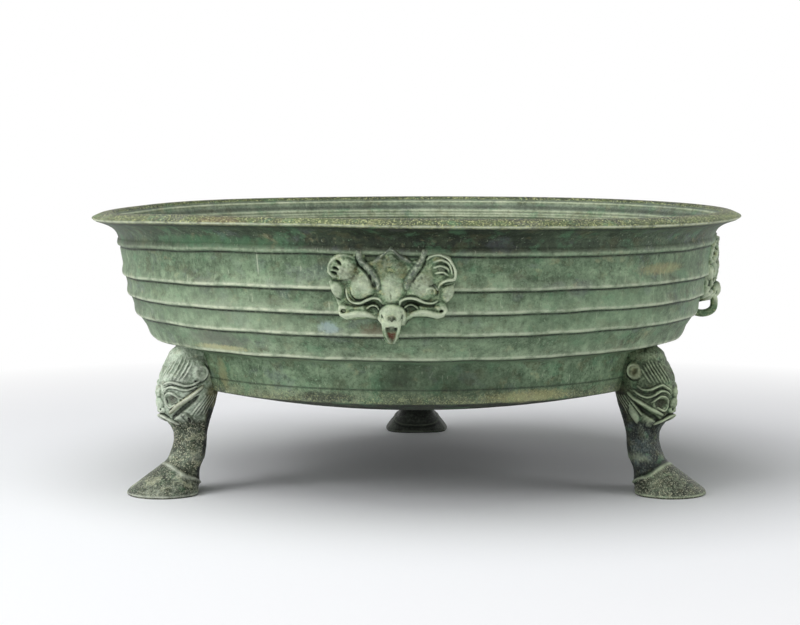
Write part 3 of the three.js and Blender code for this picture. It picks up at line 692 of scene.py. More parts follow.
    def _carve_top(self, face: Relief) -> None:
        """Carve the crest, the horns and the ears.

        Args:
            face: the relief.
        """
        face.ridge(self.CREST, 1.8, 0.7)
        face.groove([(x, z - 1.9) for x, z in self.CREST[1:4]], 2.6, 0.9)
        face.mound((-0.2, 12.6), (3.4, 2.6), -0.7)
        face.groove([(-17.9, 21.0), (-16.6, 15.4), (-13.0, 11.6), (-10.4, 7.6), (-9.2, 3.6)], 1.5, 1.3)
        face.ridge(self.HORNS[0], 3.4, 2.3, 0.7, 0.3)
        face.groove([(18.2, 20.4), (16.4, 15.6), (13.6, 11.0), (10.8, 6.6)], 1.3, 0.9)
        face.ridge(self.HORNS[1], 3.6, 2.1, 0.7, 0.4)
        for notch in ((-14.4, 14.4), (-10.5, 8.9), (-8.4, 5.0)):
            face.pit(notch, (1.2, 1.9), 1.2)
        face.groove([(-16.4, 18.6), (-17.4, 14.0), (-18.6, 9.8), (-22.4, 7.4), (-27.0, 6.6), (-31.4, 7.2)],
                    1.6, 0.9)
        face.ridge(self.LEFT_EAR, 2.0, 1.1, 0.4, 0.5)
        face.mound((-22.4, 12.8), (6.2, 6.4), 1.7)
        rough = face.swell((-23.0, 13.0), (7.6, 6.6)) + face.swell((11.0, 12.0), (5.6, 10.0))
        face.height += 0.32 * waves(face.across, face.up, 2.8, 12) * eased(rough, 0.0, 0.5)
        for outer, deep in (((-27.6, 17.4), (-24.8, 15.0)), ((-29.6, 13.7), (-26.2, 12.5)),
                            ((-30.6, 11.3), (-27.6, 10.4))):
            face.groove([outer, deep], 1.7, 2.3)
        face.pit((25.2, 12.4), (6.0, 5.0), 0.9)
        face.ridge(self.RIGHT_EAR, 2.0, 2.1)
        for rib, width in self.RIGHT_EAR_RIBS:
            face.ridge(rib, width, 1.3)
        face.groove([(32.4, 6.6), (29.6, 5.6), (26.0, 4.6)], 1.6, 1.4)

    def _carve_cheeks(self, face: Relief) -> None:
        """Carve the lobes, brows, eyes, cheek spiral and whiskers.

        Args:
            face: the relief.
        """
        face.groove([(-32.2, 4.6), (-31.2, 1.6), (-29.2, -1.4), (-26.2, -3.2)], 1.5, 1.7)
        face.pit((30.2, -2.2), (1.6, 1.5), 1.5)
        face.groove([(18.6, 4.2), (21.4, 4.4), (23.2, 2.0), (22.9, -0.6)], 1.2, 1.2)
        face.ridge([(17.3, 1.3), (18.2, 3.0), (20.2, 3.4), (21.6, 1.8), (21.3, -0.2)], 1.1, 1.0)
        face.groove([(-21.0, 3.0), (-20.4, -0.6), (-18.0, -2.9), (-14.4, -2.7), (-11.4, -1.1), (-8.6, -0.2)],
                    1.3, 1.3)
        face.groove([(7.0, -0.6), (10.4, -0.4), (14.0, -1.4)], 1.0, 0.6)
        for side, brow, lid, whisker in zip((-1, 1), self.BROWS, self.LIDS, self.WHISKERS):
            face.pit((9.4 * side, -6.2), (5.2, 3.6), 1.9)
            face.groove([(8.0 * side, -4.0), (13.6 * side, -5.2), (19.0 * side, -6.2), (24.0 * side, -5.6)],
                        1.8, 1.3)
            face.ridge(brow, 1.5, 2.5, 0.5)
            face.ridge(lid, 0.9, 0.9)
            face.ridge(whisker, 4.0, 2.3, 0.42)
        face.pit((-25.4, -9.0), (1.5, 1.3), 2.2)
        face.pit((25.0, -8.7), (1.0, 0.9), 1.2)

    def _carve_snout(self, face: Relief) -> None:
        """Carve the bridge of the nose, the snout and the upper lip.

        Args:
            face: the relief.
        """
        face.groove([(-5.0, -5.4), (-0.2, -6.0), (4.6, -5.4)], 1.3, 1.2)
        face.groove([(0.0, 1.0), (0.0, -3.0)], 1.0, 0.7)
        face.dome((0.4, -10.8), (7.0, 6.2), 4.6)
        for side in (-1, 1):
            face.ridge([(6.4 * side, -10.6), (5.9 * side, -14.0), (4.2 * side, -16.6)], 2.0, 2.2)
            nostril = ((1.5, -10.8), (1.2, -13.2), (1.4, -15.0))
            wing = ((3.9, -8.6), (3.3, -11.6), (2.6, -14.2))
            face.groove([(0.4 + x * side, z) for x, z in nostril], 2.0, 1.2)
            face.ridge([(0.4 + x * side, z) for x, z in wing], 1.5, 5.0)
            face.groove([(0.4 + 5.2 * side, -9.8), (0.4 + 4.6 * side, -12.6), (3.8 * side, -14.8)], 1.2, 1.6)
        face.ridge([(-4.0, -16.5), (0.3, -16.0), (4.6, -16.5)], 1.8, 3.4)
        face.groove([(-3.8, -15.0), (0.3, -14.9), (4.4, -15.0)], 1.0, 1.9)

    def face(self, name: str, azimuth: float) -> bpy.types.Object:
        """Make the face: carved in front, and behind it a plain sheet inside the wall's metal.

        Args:
            name: the piece's name.
            azimuth: where it sits.

        Returns:
            The face. Ring k goes up the front and down the back at one place across.
        """
        across = np.linspace(-self.half_width, self.half_width, self.columns)[:, None]
        up = np.linspace(*self.reach, self.rows)[None]
        across, up = np.broadcast_arrays(across, up)
        face, zones = self.carve(across, up)
        back_up = np.linspace(*self.reach[::-1], self.back_rows)[None].repeat(self.columns, axis=0)
        all_up = np.concatenate([up, back_up], axis=1)
        angle = np.concatenate([across, across[:, : self.back_rows]], axis=1) / self.bowl.plain(self.level)
        rise = np.concatenate([face.height + self.cover, np.full(back_up.shape, -self.buried)], axis=1)
        radius = self.bowl.plain(self.level + all_up) + rise
        rings = turned(radius * np.sin(angle), radius * np.cos(angle), self.level + all_up, azimuth)
        marks = {**face.marks(near=14, step=0.5, far=260, swing=1.4), **zones}
        # Painted shade in the snout and by the crest, and painted highlights on forehead, cheeks, lobes and
        # ear.
        muzzle_shade, pale, shaded = (
            sum(face.swell(*spot) for spot in spots) for spots in (self.MUZZLE_SHADE, self.PAINTED_HIGHLIGHTS, self.SHADED))
        marks["crevice"] = np.maximum(marks["crevice"], np.clip(muzzle_shade, 0.0, 0.9))
        marks["high"] = np.maximum(marks["high"], 0.75 * eased(pale, 0.0, 1.0))
        marks["low"] = np.maximum(marks["low"], 0.8 * eased(shaded, 0.0, 1.0))
        none = np.zeros(back_up.shape)
        return skin(name, rings, {key: np.concatenate([value, none], axis=1) for key, value in marks.items()})

    def loop(self, name: str, azimuth: float) -> bpy.types.Object:
        """Make the loop: the open jaw, swept in the upright plane from the snout back to the wall.

        Args:
            name: the piece's name.
            azimuth: where it sits.

        Returns:
            The loop. Its section is a rounded box, which narrows from the snout to the wall; the
            mouth is a hollow shaped like a V in its outer face.
        """
        middle = smooth_curve(self.LOOP, 9)
        along = np.gradient(middle, axis=0)
        along /= np.linalg.norm(along, axis=1, keepdims=True)
        out = np.stack([-along[:, 1], along[:, 0]], -1)
        share = np.linspace(0.0, 1.0, len(middle))[:, None]
        turn = np.linspace(0.0, 2.0 * math.pi, 72, endpoint=False)[None]
        x = np.interp(share, *self.LOOP_WIDTHS) * squared(np.cos(turn), 0.55)
        n = self.LOOP_HALF * squared(np.sin(turn), 0.55)
        z = middle[:, 1:] + n * out[:, 1:]
        opening = np.interp(z, *self.MOUTH)
        beside = np.abs(x - self.MOUTH_MIDDLE)
        mouth = eased(opening - beside, -0.3, 0.6) * (n > 0.0) * (middle[:, :1] > self.LOOP_FRONT)
        n = n - self.MOUTH_DEPTH * mouth
        rings = turned(x, middle[:, :1] + n * out[:, :1], middle[:, 1:] + n * out[:, 1:], azimuth)
        rim = peak(beside - opening, 0.6, 0.5) * (n > 0.0) * (opening > 0.05)
        fang = mouth * peak(x, 0.6, 0.55) * eased(z, 99.4, 100.4)
        # Painted shade in the corners of the mouth.
        corner = mouth * eased(z, 98.4, 100.4) * (1.0 - fang)
        red = mouth * (1.0 - eased(z, 98.2, 100.0))
        marks = {"crest": np.clip(rim + fang, 0.0, 1.0), "crevice": corner, "mouth": red}
        # Painted highlight on the upper half of the loop's outer face.
        marks["high"] = eased(z, 99.0, 104.0) * (n > 0.0)
        return skin(name, rings, marks)


@dataclass(frozen=True)
class HeadLines:
    """Where the carving of a beast's head lies, as (radians round the head, height in mm).

    Args:
        hair: the locks, from the crown down.
        brows: the two ridges over the eye.
        lids: the upper and the lower lid.
        cheek: the band from the nose up to the neck.
        ear: its middle, and half its breadth (mm) and half its height.
        tuft: the leaf-shaped tuft behind the jaw.
    """

    hair: tuple[Path, ...]
    brows: tuple[Path, Path]
    lids: tuple[Path, Path]
    cheek: Path
    ear: tuple[float, float, float, float]
    tuft: Path


LEFT_HEAD = HeadLines(
    hair=(
        [(0.28, 73.0), (0.06, 64.6)], [(0.45, 75.4), (0.21, 65.0)], [(0.63, 77.0), (0.38, 64.8)],
        [(0.83, 77.4), (0.57, 64.2)], [(1.0, 76.8), (0.72, 63.9)], [(1.17, 75.6), (0.88, 64.1)],
        [(1.29, 73.4), (1.03, 64.4)],
    ),
    brows=(
        [(0.3, 61.4), (0.53, 62.8), (0.73, 62.8), (0.94, 62.0), (1.17, 61.0), (1.41, 61.6), (1.62, 63.2)],
        [(0.36, 56.4), (0.47, 59.0), (0.63, 60.2), (0.86, 59.9), (1.1, 58.8), (1.29, 58.9), (1.54, 60.6)],
    ),
    lids=(
        [(0.42, 52.6), (0.45, 55.0), (0.58, 57.0), (0.78, 56.7), (0.93, 54.7), (1.09, 53.6)],
        [(0.43, 53.4), (0.48, 50.6), (0.62, 48.7), (0.82, 50.6)],
    ),
    cheek=[(0.58, 45.9), (0.74, 47.8), (0.92, 50.0), (1.12, 52.4), (1.34, 54.9), (1.58, 58.0), (1.76, 60.0)],
    ear=(1.68, 67.8, 4.6, 4.6),
    tuft=[(1.1, 45.4), (1.24, 43.0), (1.42, 39.4)],
)
RIGHT_HEAD = HeadLines(
    hair=(
        [(0.5, 73.4), (0.24, 62.9)], [(0.68, 74.6), (0.38, 62.6)], [(0.84, 75.0), (0.52, 62.5)],
        [(0.97, 74.8), (0.65, 62.4)], [(1.09, 73.8), (0.78, 62.4)], [(1.2, 72.4), (0.91, 62.6)],
        [(1.3, 70.4), (1.05, 62.6)],
    ),
    brows=(
        [(0.3, 58.4), (0.45, 59.8), (0.65, 61.5), (0.86, 60.6), (1.08, 59.1), (1.33, 59.0), (1.52, 60.8)],
        [(0.34, 55.6), (0.54, 57.8), (0.76, 58.0), (0.97, 55.9), (1.2, 54.6), (1.45, 55.9), (1.66, 58.4)],
    ),
    lids=(
        [(0.37, 49.8), (0.45, 53.4), (0.6, 55.0), (0.77, 55.1), (0.93, 53.2), (1.06, 51.6)],
        [(0.38, 50.2), (0.46, 47.8), (0.6, 46.9), (0.84, 49.0)],
    ),
    cheek=[(0.6, 44.6), (0.79, 45.9), (0.96, 47.2), (1.14, 48.6), (1.41, 51.4), (1.67, 53.8), (1.87, 56.5)],
    ear=(1.6, 69.0, 4.7, 4.9),
    tuft=[(1.82, 50.2), (1.74, 46.4), (1.53, 39.8)],
)


@dataclass(frozen=True)
class LegMould:
    """The mould of the three legs: a beast's head, its shank and a hoof, facing outward.

    Args:
        bowl: the bowl that the legs carry.
        sections: height, radius of the centre, half depth and half width of each section.
        round_: mm across the head for a radian round it.
        coronet: mean height of the ridge over the hoof, and how much higher it is in front than that
            and lower behind.
        columns: points round a leg.
        rows: the lowest and the highest row of the hoof's edge, the shank and the head, and how many
            rows each has.
    """

    bowl: Basin
    sections: tuple[tuple[float, float, float, float], ...] = (
        (0.0, 163.2, 20.0, 20.8), (1.4, 163.0, 20.3, 21.0), (3.0, 161.6, 20.2, 20.6),
        (6.0, 159.0, 18.2, 18.6), (9.0, 156.8, 16.2, 16.4), (12.0, 154.4, 14.1, 14.2),
        (15.5, 151.4, 11.8, 12.0), (18.5, 149.5, 10.3, 10.4), (21.0, 148.6, 9.8, 9.8),
        (25.0, 147.4, 9.3, 9.3), (29.0, 146.7, 9.0, 9.1), (33.5, 146.4, 9.3, 9.3),
        (37.0, 146.6, 10.6, 9.8), (40.6, 147.6, 12.6, 10.6), (43.5, 148.6, 14.8, 11.0),
        (50.5, 148.0, 16.6, 12.2), (57.0, 148.0, 17.8, 13.2), (66.0, 147.2, 16.2, 13.0),
        (74.0, 146.2, 13.4, 12.0), (79.0, 145.8, 11.8, 10.6), (82.4, 144.6, 8.0, 8.6),
    )
    round_: float = 15.8
    coronet: Pair = (10.8, 5.8)
    columns: int = 300
    rows: tuple[tuple[float, float, int], ...] = ((0.0, 3.0, 13), (3.4, 38.6, 84), (39.0, 82.4, 168))

    # Heights from which to which the neck and the head begin, and the nape and the back's painted shade end.
    NECK, HEAD, NAPE_TOP, BACK_TOP = (38.0, 42.0), (39.0, 43.0), (58.0, 62.0), (46.0, 52.0)
    # Radians round the leg from which to which the nape and the shank's back, which gets painted shade,
    # begin.
    NAPE, BACK = (1.75, 2.1), (1.85, 2.1)
    # Heights from which to which the pastern over the hoof runs out.
    PASTERN = (13.0, 21.0)

    def section(self, height: np.ndarray) -> tuple[np.ndarray, np.ndarray, np.ndarray]:
        """Give the leg's bare section.

        Args:
            height: heights.

        Returns:
            Radius of its centre, half depth and half width there, smoothed over about 2 mm.
        """
        table = np.array(self.sections)
        fine = np.linspace(-6.0, 90.0, 961)
        weight = peak(np.linspace(-3.0, 3.0, 61), 0.0, 1.0)
        weight /= weight.sum()
        smooth = [np.convolve(np.interp(fine, table[:, 0], table[:, k]), weight, "same") for k in (1, 2, 3)]
        return tuple(np.interp(height, fine, values) for values in smooth)

    def carve(self, angle: np.ndarray, height: np.ndarray, lines: HeadLines,
              ) -> tuple[Relief, Marks]:
        """Carve the leg.

        Args:
            angle: places round the leg from its front, in radians.
            height: heights.
            lines: where the head's carving lies.

        Returns:
            The relief, and the marks that the finish reads.
        """
        leg = Relief(np.abs(angle) * self.round_, height, np.zeros(angle.shape))
        self._carve_crown(leg, lines)
        self._carve_face(leg, lines)
        self._carve_jaw(leg, lines)
        over = height - self.coronet[0] - self.coronet[1] * np.cos(angle)
        ridge = peak(over, 0.0, 0.55)
        pastern = eased(over, 0.2, 1.4) * (1.0 - eased(height, *self.PASTERN))
        leg.height += 0.5 * ridge - (0.5 + 0.8 * (1.0 - np.cos(angle))) * pastern
        heel = eased(-np.cos(angle), -0.3, 0.7) * (1.0 - eased(over, -0.4, 1.0))
        leg.height -= heel * (1.2 + 1.2 * eased(height, 0.0, 5.0))
        leg.height -= 0.8 * (1.0 - eased(height, -0.4, 1.0))
        leg.height += 0.35 * waves(leg.across, height, 15.0, 8) * eased(height, 16.0, 20.0)
        leg.height += 0.1 * waves(leg.across, height, 2.6, 16)
        leg.height = blurred(leg.height, 2)
        marks = leg.marks(near=12, step=0.36, far=220, swing=1.3)
        sole = peak(height, 1.2, 0.45)
        toe = eased(np.cos(angle), -0.2, 0.7)
        neck = eased(height, *self.NECK)
        behind = np.abs(angle)
        marks["crest"] = np.maximum(marks["crest"] * (1.0 - ridge), np.maximum(0.8 * ridge * toe, 0.8 * sole))
        # Painted shade along the hoof's bottom edge, where it meets the floor.
        marks["low"] = np.maximum(marks["low"], 1.0 - eased(height, 0.3, 0.9))
        marks["crevice"] = np.maximum(marks["crevice"], 0.5 * peak(over, 1.5, 0.7))
        marks["head"] = eased(height, *self.HEAD)
        marks["hoof"] = 1.0 - eased(over, -0.5, 0.3)
        # Painted shade: the shank's flat back faces away from the lamps and gets the dark back tones.
        below = 1.0 - eased(height, *self.BACK_TOP)
        marks["back"] = eased(behind, *self.BACK) * below * (1.0 - marks["hoof"])
        marks["shank"] = eased(over, 0.4, 1.4) * (1.0 - neck) * (1.0 - marks["back"])
        marks["nape"] = eased(behind, *self.NAPE) * neck * (1.0 - eased(height, *self.NAPE_TOP))
        marks["eye"] = leg.swell((0.71 * self.round_, lines.lids[0][2][1] - 3.6), (3.0, 2.4))
        marks["ear"] = leg.swell((lines.ear[0] * self.round_, lines.ear[1]), lines.ear[2:])
        marks["cheek"] = leg.profile(self._round(lines.cheek), 3.4, 0.7)[0]
        marks["tuft"] = leg.profile(self._round(lines.tuft), 4.6, 0.5)[0]
        return leg, marks

    def _round(self, path: Path) -> Path:
        """Turn a path of (radians round the head, height) into one of mm."""
        return [(turn * self.round_, height) for turn, height in path]

    def _carve_crown(self, leg: Relief, lines: HeadLines) -> None:
        """Carve the hair, the ear and the brows.

        Args:
            leg: the relief.
            lines: where the head's carving lies.
        """
        for (top, top_height), (foot, foot_height) in lines.hair:
            middle = (0.46 * top + 0.54 * foot + 0.02, 0.5 * (top_height + foot_height))
            leg.ridge(self._round([(top, top_height), middle, (foot, foot_height)]), 1.25, 0.7, 0.4)
        x, z = lines.ear[0] * self.round_, lines.ear[1]
        turn = np.linspace(2.0, 5.4, 9)
        leg.groove(list(zip(x - 5.2 * np.cos(turn), z + 5.2 * np.sin(turn))), 1.8, 0.7)
        leg.mound((x, z), (lines.ear[2] + 1.2, lines.ear[3] + 1.2), 1.3)
        leg.groove([(x - 2.2, z + 1.6), (x - 0.8, z - 0.2), (x - 0.4, z - 2.6)], 3.4, 0.4)
        turn = np.linspace(-1.3, 2.0, 9)
        leg.ridge(list(zip(x + 3.4 * np.cos(turn), z + 3.7 * np.sin(turn))), 1.8, 0.8, 0.3)
        leg.groove(self._round([(turn, z - 1.9) for turn, z in lines.brows[0]]), 1.2, 0.6)
        for brow in lines.brows:
            leg.ridge(self._round(brow), 1.5, 1.3, 0.5)

    def _carve_face(self, leg: Relief, lines: HeadLines) -> None:
        """Carve the eye, the cheek, the nose and the lip.

        Args:
            leg: the relief.
            lines: where the head's carving lies.
        """
        eye = (0.7 * self.round_, lines.lids[0][2][1] - 4.0)
        leg.mound(eye, (6.0, 5.4), 0.9)
        leg.pit(eye, (4.0, 3.0), 1.7)
        for lid in lines.lids:
            leg.ridge(self._round(lid), 1.1, 1.3)
        under = self._round([(turn + 0.06, height - 3.2) for turn, height in lines.cheek[:-1]])
        leg.groove(under, 3.4, 2.0, 0.5)
        leg.ridge(self._round(lines.cheek), 2.4, 1.7, 0.5)
        leg.dome((0.0, 57.0), (3.0, 3.4), 1.5)
        leg.dome((0.0, 50.6), (4.4, 4.0), 2.2)
        leg.dome((0.0, 47.0), (5.6, 2.4), 2.0)
        leg.pit((2.4, 47.4), (1.1, 0.9), 0.9)
        leg.groove([(0.0, 45.3), (4.0, 44.6), (8.0, 43.4)], 1.2, 1.2)
        leg.ridge([(0.0, 44.0), (4.2, 43.2), (8.0, 41.2), (11.4, 39.4)], 2.7, 2.6, 0.6)

    def _carve_jaw(self, leg: Relief, lines: HeadLines) -> None:
        """Carve the leaf-shaped tuft under the cheek and the folds of the neck.

        Args:
            leg: the relief.
            lines: where the head's carving lies.
        """
        leg.mound((0.8 * self.round_, 40.4), (7.0, 4.4), 0.8)
        leg.ridge(self._round(lines.tuft), 4.4, 1.6, 0.35)
        for k in range(5):
            foot = 1.42 + 0.13 * k
            leg.ridge(self._round([(foot, 44.4), (foot + 0.22, 49.4), (foot + 0.5, 54.8)]), 1.3, 0.9, 0.6)

    def cast(self, name: str, azimuth: float, lines: HeadLines) -> bpy.types.Object:
        """Cast a leg: an oval section that moves up the leg, with the carving added to its half axes.

        Args:
            name: the piece's name.
            azimuth: where the leg stands.
            lines: where the head's carving lies.

        Returns:
            The leg, whose points lie closest together at its front. Its back half is boxier along
            the shank, by raising the sine and the cosine to a power, and is held inside the bowl's
            metal higher up.
        """
        share = np.linspace(-1.0, 1.0, self.columns, endpoint=False)[None]
        angle = math.pi * (0.75 * share + 0.25 * share**3)
        height = np.concatenate([np.linspace(*rows) for rows in self.rows])
        angle, height = np.broadcast_arrays(angle, height[:, None])
        leg, marks = self.carve(angle, height, lines)
        centre, depth, width = self.section(height)
        boxy = eased(-np.cos(angle), 0.0, 0.3) * (1.0 - eased(height, 42.0, 50.0))
        power = 1.0 - 0.32 * boxy
        across = (width + leg.height) * squared(np.sin(angle), power)
        radius = centre + (depth * (1.0 - 0.09 * boxy) + leg.height) * squared(np.cos(angle), power)
        radius, height = self.bowl.seated(across, radius, height)
        return skin(name, turned(across, radius, height, azimuth), marks)


class Sock:
    """A number in a material, to be reckoned with like one.

    Args:
        tree: the material's nodes.
        socket: the output that the number comes from.
    """

    def __init__(self, tree: bpy.types.NodeTree, socket: Output) -> None:
        """Keep both."""
        self.tree, self.socket = tree, socket

    def _reckon(self, operation: str, *values: "Sock | float") -> "Sock":
        """Join values by a Math node.

        Args:
            operation: the node's operation.
            values: its inputs in order.

        Returns:
            What comes out.
        """
        node = self.tree.nodes.new("ShaderNodeMath")
        node.operation = operation
        for slot, value in zip(node.inputs, values):
            if isinstance(value, Sock):
                self.tree.links.new(value.socket, slot)
            else:
                slot.default_value = value
        return Sock(self.tree, node.outputs[0])

    def __add__(self, other: "Sock | float") -> "Sock":
        """Add."""
        return self._reckon("ADD", self, other)

    def __sub__(self, other: "Sock | float") -> "Sock":
        """Subtract."""
        return self._reckon("SUBTRACT", self, other)

    def __rsub__(self, other: float) -> "Sock":
        """Subtract this from a number."""
        return self._reckon("SUBTRACT", other, self)

    def __mul__(self, other: "Sock | float") -> "Sock":
        """Multiply."""
        return self._reckon("MULTIPLY", self, other)

    __radd__, __rmul__ = __add__, __mul__

    def size(self) -> "Sock":
        """Take the size without its sign."""
        return self._reckon("ABSOLUTE", self)

    def angle_from(self, other: "Sock") -> "Sock":
        """Give the angle whose tangent is this over the other."""
        return self._reckon("ARCTAN2", self, other)

    def clipped(self) -> "Sock":
        """Keep the number between 0 and 1."""
        return self._reckon("MAXIMUM", self._reckon("MINIMUM", self, 1.0), 0.0)

    def between(self, low: float, high: float) -> "Sock":
        """Run from 0 at low to 1 at high, and stay there; low may be the larger."""
        return ((self - low) * (1.0 / (high - low))).clipped()


def linear(colour: Colour) -> tuple[float, float, float, float]:
    """Turn a screen colour from 0 to 255 into the renderer's linear one."""
    steps = [c / 255.0 for c in colour]
    return (*[s / 12.92 if s <= 0.04045 else ((s + 0.055) / 1.055) ** 2.4 for s in steps], 1.0)


def shown_directly(tree: bpy.types.NodeTree) -> Sock:
    """Tell what is seen by the camera or in metal or glass from what only lights.

    Args:
        tree: the nodes of a material or of the world.

    Returns:
        1 where it is seen, 0 where it lights.
    """
    path = tree.nodes.new("ShaderNodeLightPath")
    seen = Sock(tree, path.outputs["Is Camera Ray"]) + Sock(tree, path.outputs["Is Glossy Ray"])
    return (seen + Sock(tree, path.outputs["Is Transmission Ray"])).clipped()


class Shader:
    """A material under construction.

    Args:
        name: the material's name.
    """

    # How strongly every finish reflects.
    SPECULAR = 0.3

    def __init__(self, name: str) -> None:
        """Make the material and read the place of each point, in mm."""
        self.material = bpy.data.materials.new(name)
        self.material.use_nodes = True
        self.tree = self.material.node_tree
        self.surface = self.tree.nodes["Principled BSDF"]
        place = self.node("ShaderNodeTexCoord").outputs["Object"]
        self.place = self.node(
            "ShaderNodeVectorMath", {"operation": "SCALE"}, {"Vector": place, "Scale": 1.0 / MM})
        axes = self.node("ShaderNodeSeparateXYZ", {}, {"Vector": self.place.outputs[0]})
        self.x, self.y, self.z = (Sock(self.tree, axes.outputs[n]) for n in range(3))

    def node(self, kind: str, settings: dict | None = None, values: dict | None = None,
             ) -> bpy.types.Node:
        """Add a node.

        Args:
            kind: the node's type.
            settings: properties to set first.
            values: what goes into each input, by its name or number: a value, socket or Sock.

        Returns:
            The node.
        """
        node = self.tree.nodes.new(kind)
        for key, value in (settings or {}).items():
            setattr(node, key, value)
        for key, value in (values or {}).items():
            value = value.socket if isinstance(value, Sock) else value
            if isinstance(value, Output):
                self.tree.links.new(value, node.inputs[key])
            else:
                node.inputs[key].default_value = value
        return node

    def mark(self, name: str) -> Sock:
        """Read a mark of the mesh."""
        return Sock(self.tree, self.node("ShaderNodeAttribute", {"attribute_name": name}).outputs["Fac"])

    def noise(self, size: float, seed: float, detail: float = 4.0, flat: float = 1.0) -> Sock:
        """Give clouds.

        Args:
            size: how many mm they are across.
            seed: which clouds.
            detail: how many finer sizes are added.
            flat: how many times as wide as high they are, under 1 for upright streaks.

        Returns:
            A number round 0.5.
        """
        scaled = self.node("ShaderNodeVectorMath", {"operation": "MULTIPLY"},
                           {0: self.place.outputs[0], 1: (1.0, 1.0, flat)})
        clouds = self.node("ShaderNodeTexNoise", {"noise_dimensions": "4D"}, {
            "Vector": scaled.outputs[0], "W": seed, "Scale": 1.0 / size, "Detail": detail, "Roughness": 0.6})
        return Sock(self.tree, clouds.outputs["Fac"])

    def mixed(self, share: Sock | float, below: Paint, above: Paint) -> Output:
        """Lay a colour over another one.

        Args:
            share: how much of it shows, from 0 to 1.
            below: the colour underneath.
            above: the colour on top.

        Returns:
            The mixed colour.
        """
        below, above = (c if isinstance(c, Output) else linear(c) for c in (below, above))
        return self.node("ShaderNodeMix", {"data_type": "RGBA"}, {0: share, 6: below, 7: above}).outputs[2]

    def mottled(self, colour: Paint, tones: tuple[Paint, Paint], field: Sock, cuts: tuple[Pair, Pair],
                shares: Pair) -> Output:
        """Lay a pale tone where a field is high and a dark one where it is low.

        Args:
            colour: the colour so far.
            tones: the pale and the dark tone.
            field: the field.
            cuts: for each tone, where in the field it begins and where it is full.
            shares: how much of each shows.

        Returns:
            The mottled colour.
        """
        for tone, (start, full), share in zip(tones, cuts, shares):
            colour = self.mixed(field.between(start, full) * share, colour, tone)
        return colour

    def finish(self, colour: Output, roughness: Sock, height: Sock, metallic: float,
               ) -> bpy.types.Material:
        """Set the surface.

        Args:
            colour: its colour.
            roughness: its roughness.
            height: its bump, in mm.
            metallic: how much bare metal shows.

        Returns:
            The material.
        """
        self.tree.links.new(colour, self.surface.inputs["Base Color"])
        self.tree.links.new(roughness.socket, self.surface.inputs["Roughness"])
        self.surface.inputs["Metallic"].default_value = metallic
        self.surface.inputs["Specular IOR Level"].default_value = self.SPECULAR
        bump = self.node("ShaderNodeBump", {}, {"Height": height, "Distance": MM, "Strength": 1.0})
        self.tree.links.new(bump.outputs["Normal"], self.surface.inputs["Normal"])
        return self.material


@dataclass(frozen=True)
class Tones:
    """The three colours that a patina is mottled from, from 0 to 255 on screen."""

    mid: Colour
    pale: Colour
    dark: Colour


@dataclass(frozen=True)
class Cloud:
    """A hue that lies over a patina in patches.

    Args:
        colour: its colour.
        share: how much of it shows, from 0 to 1.
        size: how large its patches are, in mm.
        seed: which patches.
        cut: how rare it is; 0.5 covers half, 0.6 about a sixth.
        flat: how many times as wide as high they are.
    """

    colour: Colour
    share: float
    size: float
    seed: float
    cut: float = 0.55
    flat: float = 1.3


@dataclass(frozen=True)
class Spot:
    """A stain of one colour round a place on the wall.

    Args:
        azimuth: where it is, in degrees.
        height: its height, in mm.
        half: half its breadth and half its height, in mm.
        colour: its colour.
        share: how much of it shows.
        grain: size of the clouds that break it up, in mm.
    """

    azimuth: float
    height: float
    half: Pair
    colour: Colour
    share: float = 0.7
    grain: float = 3.0


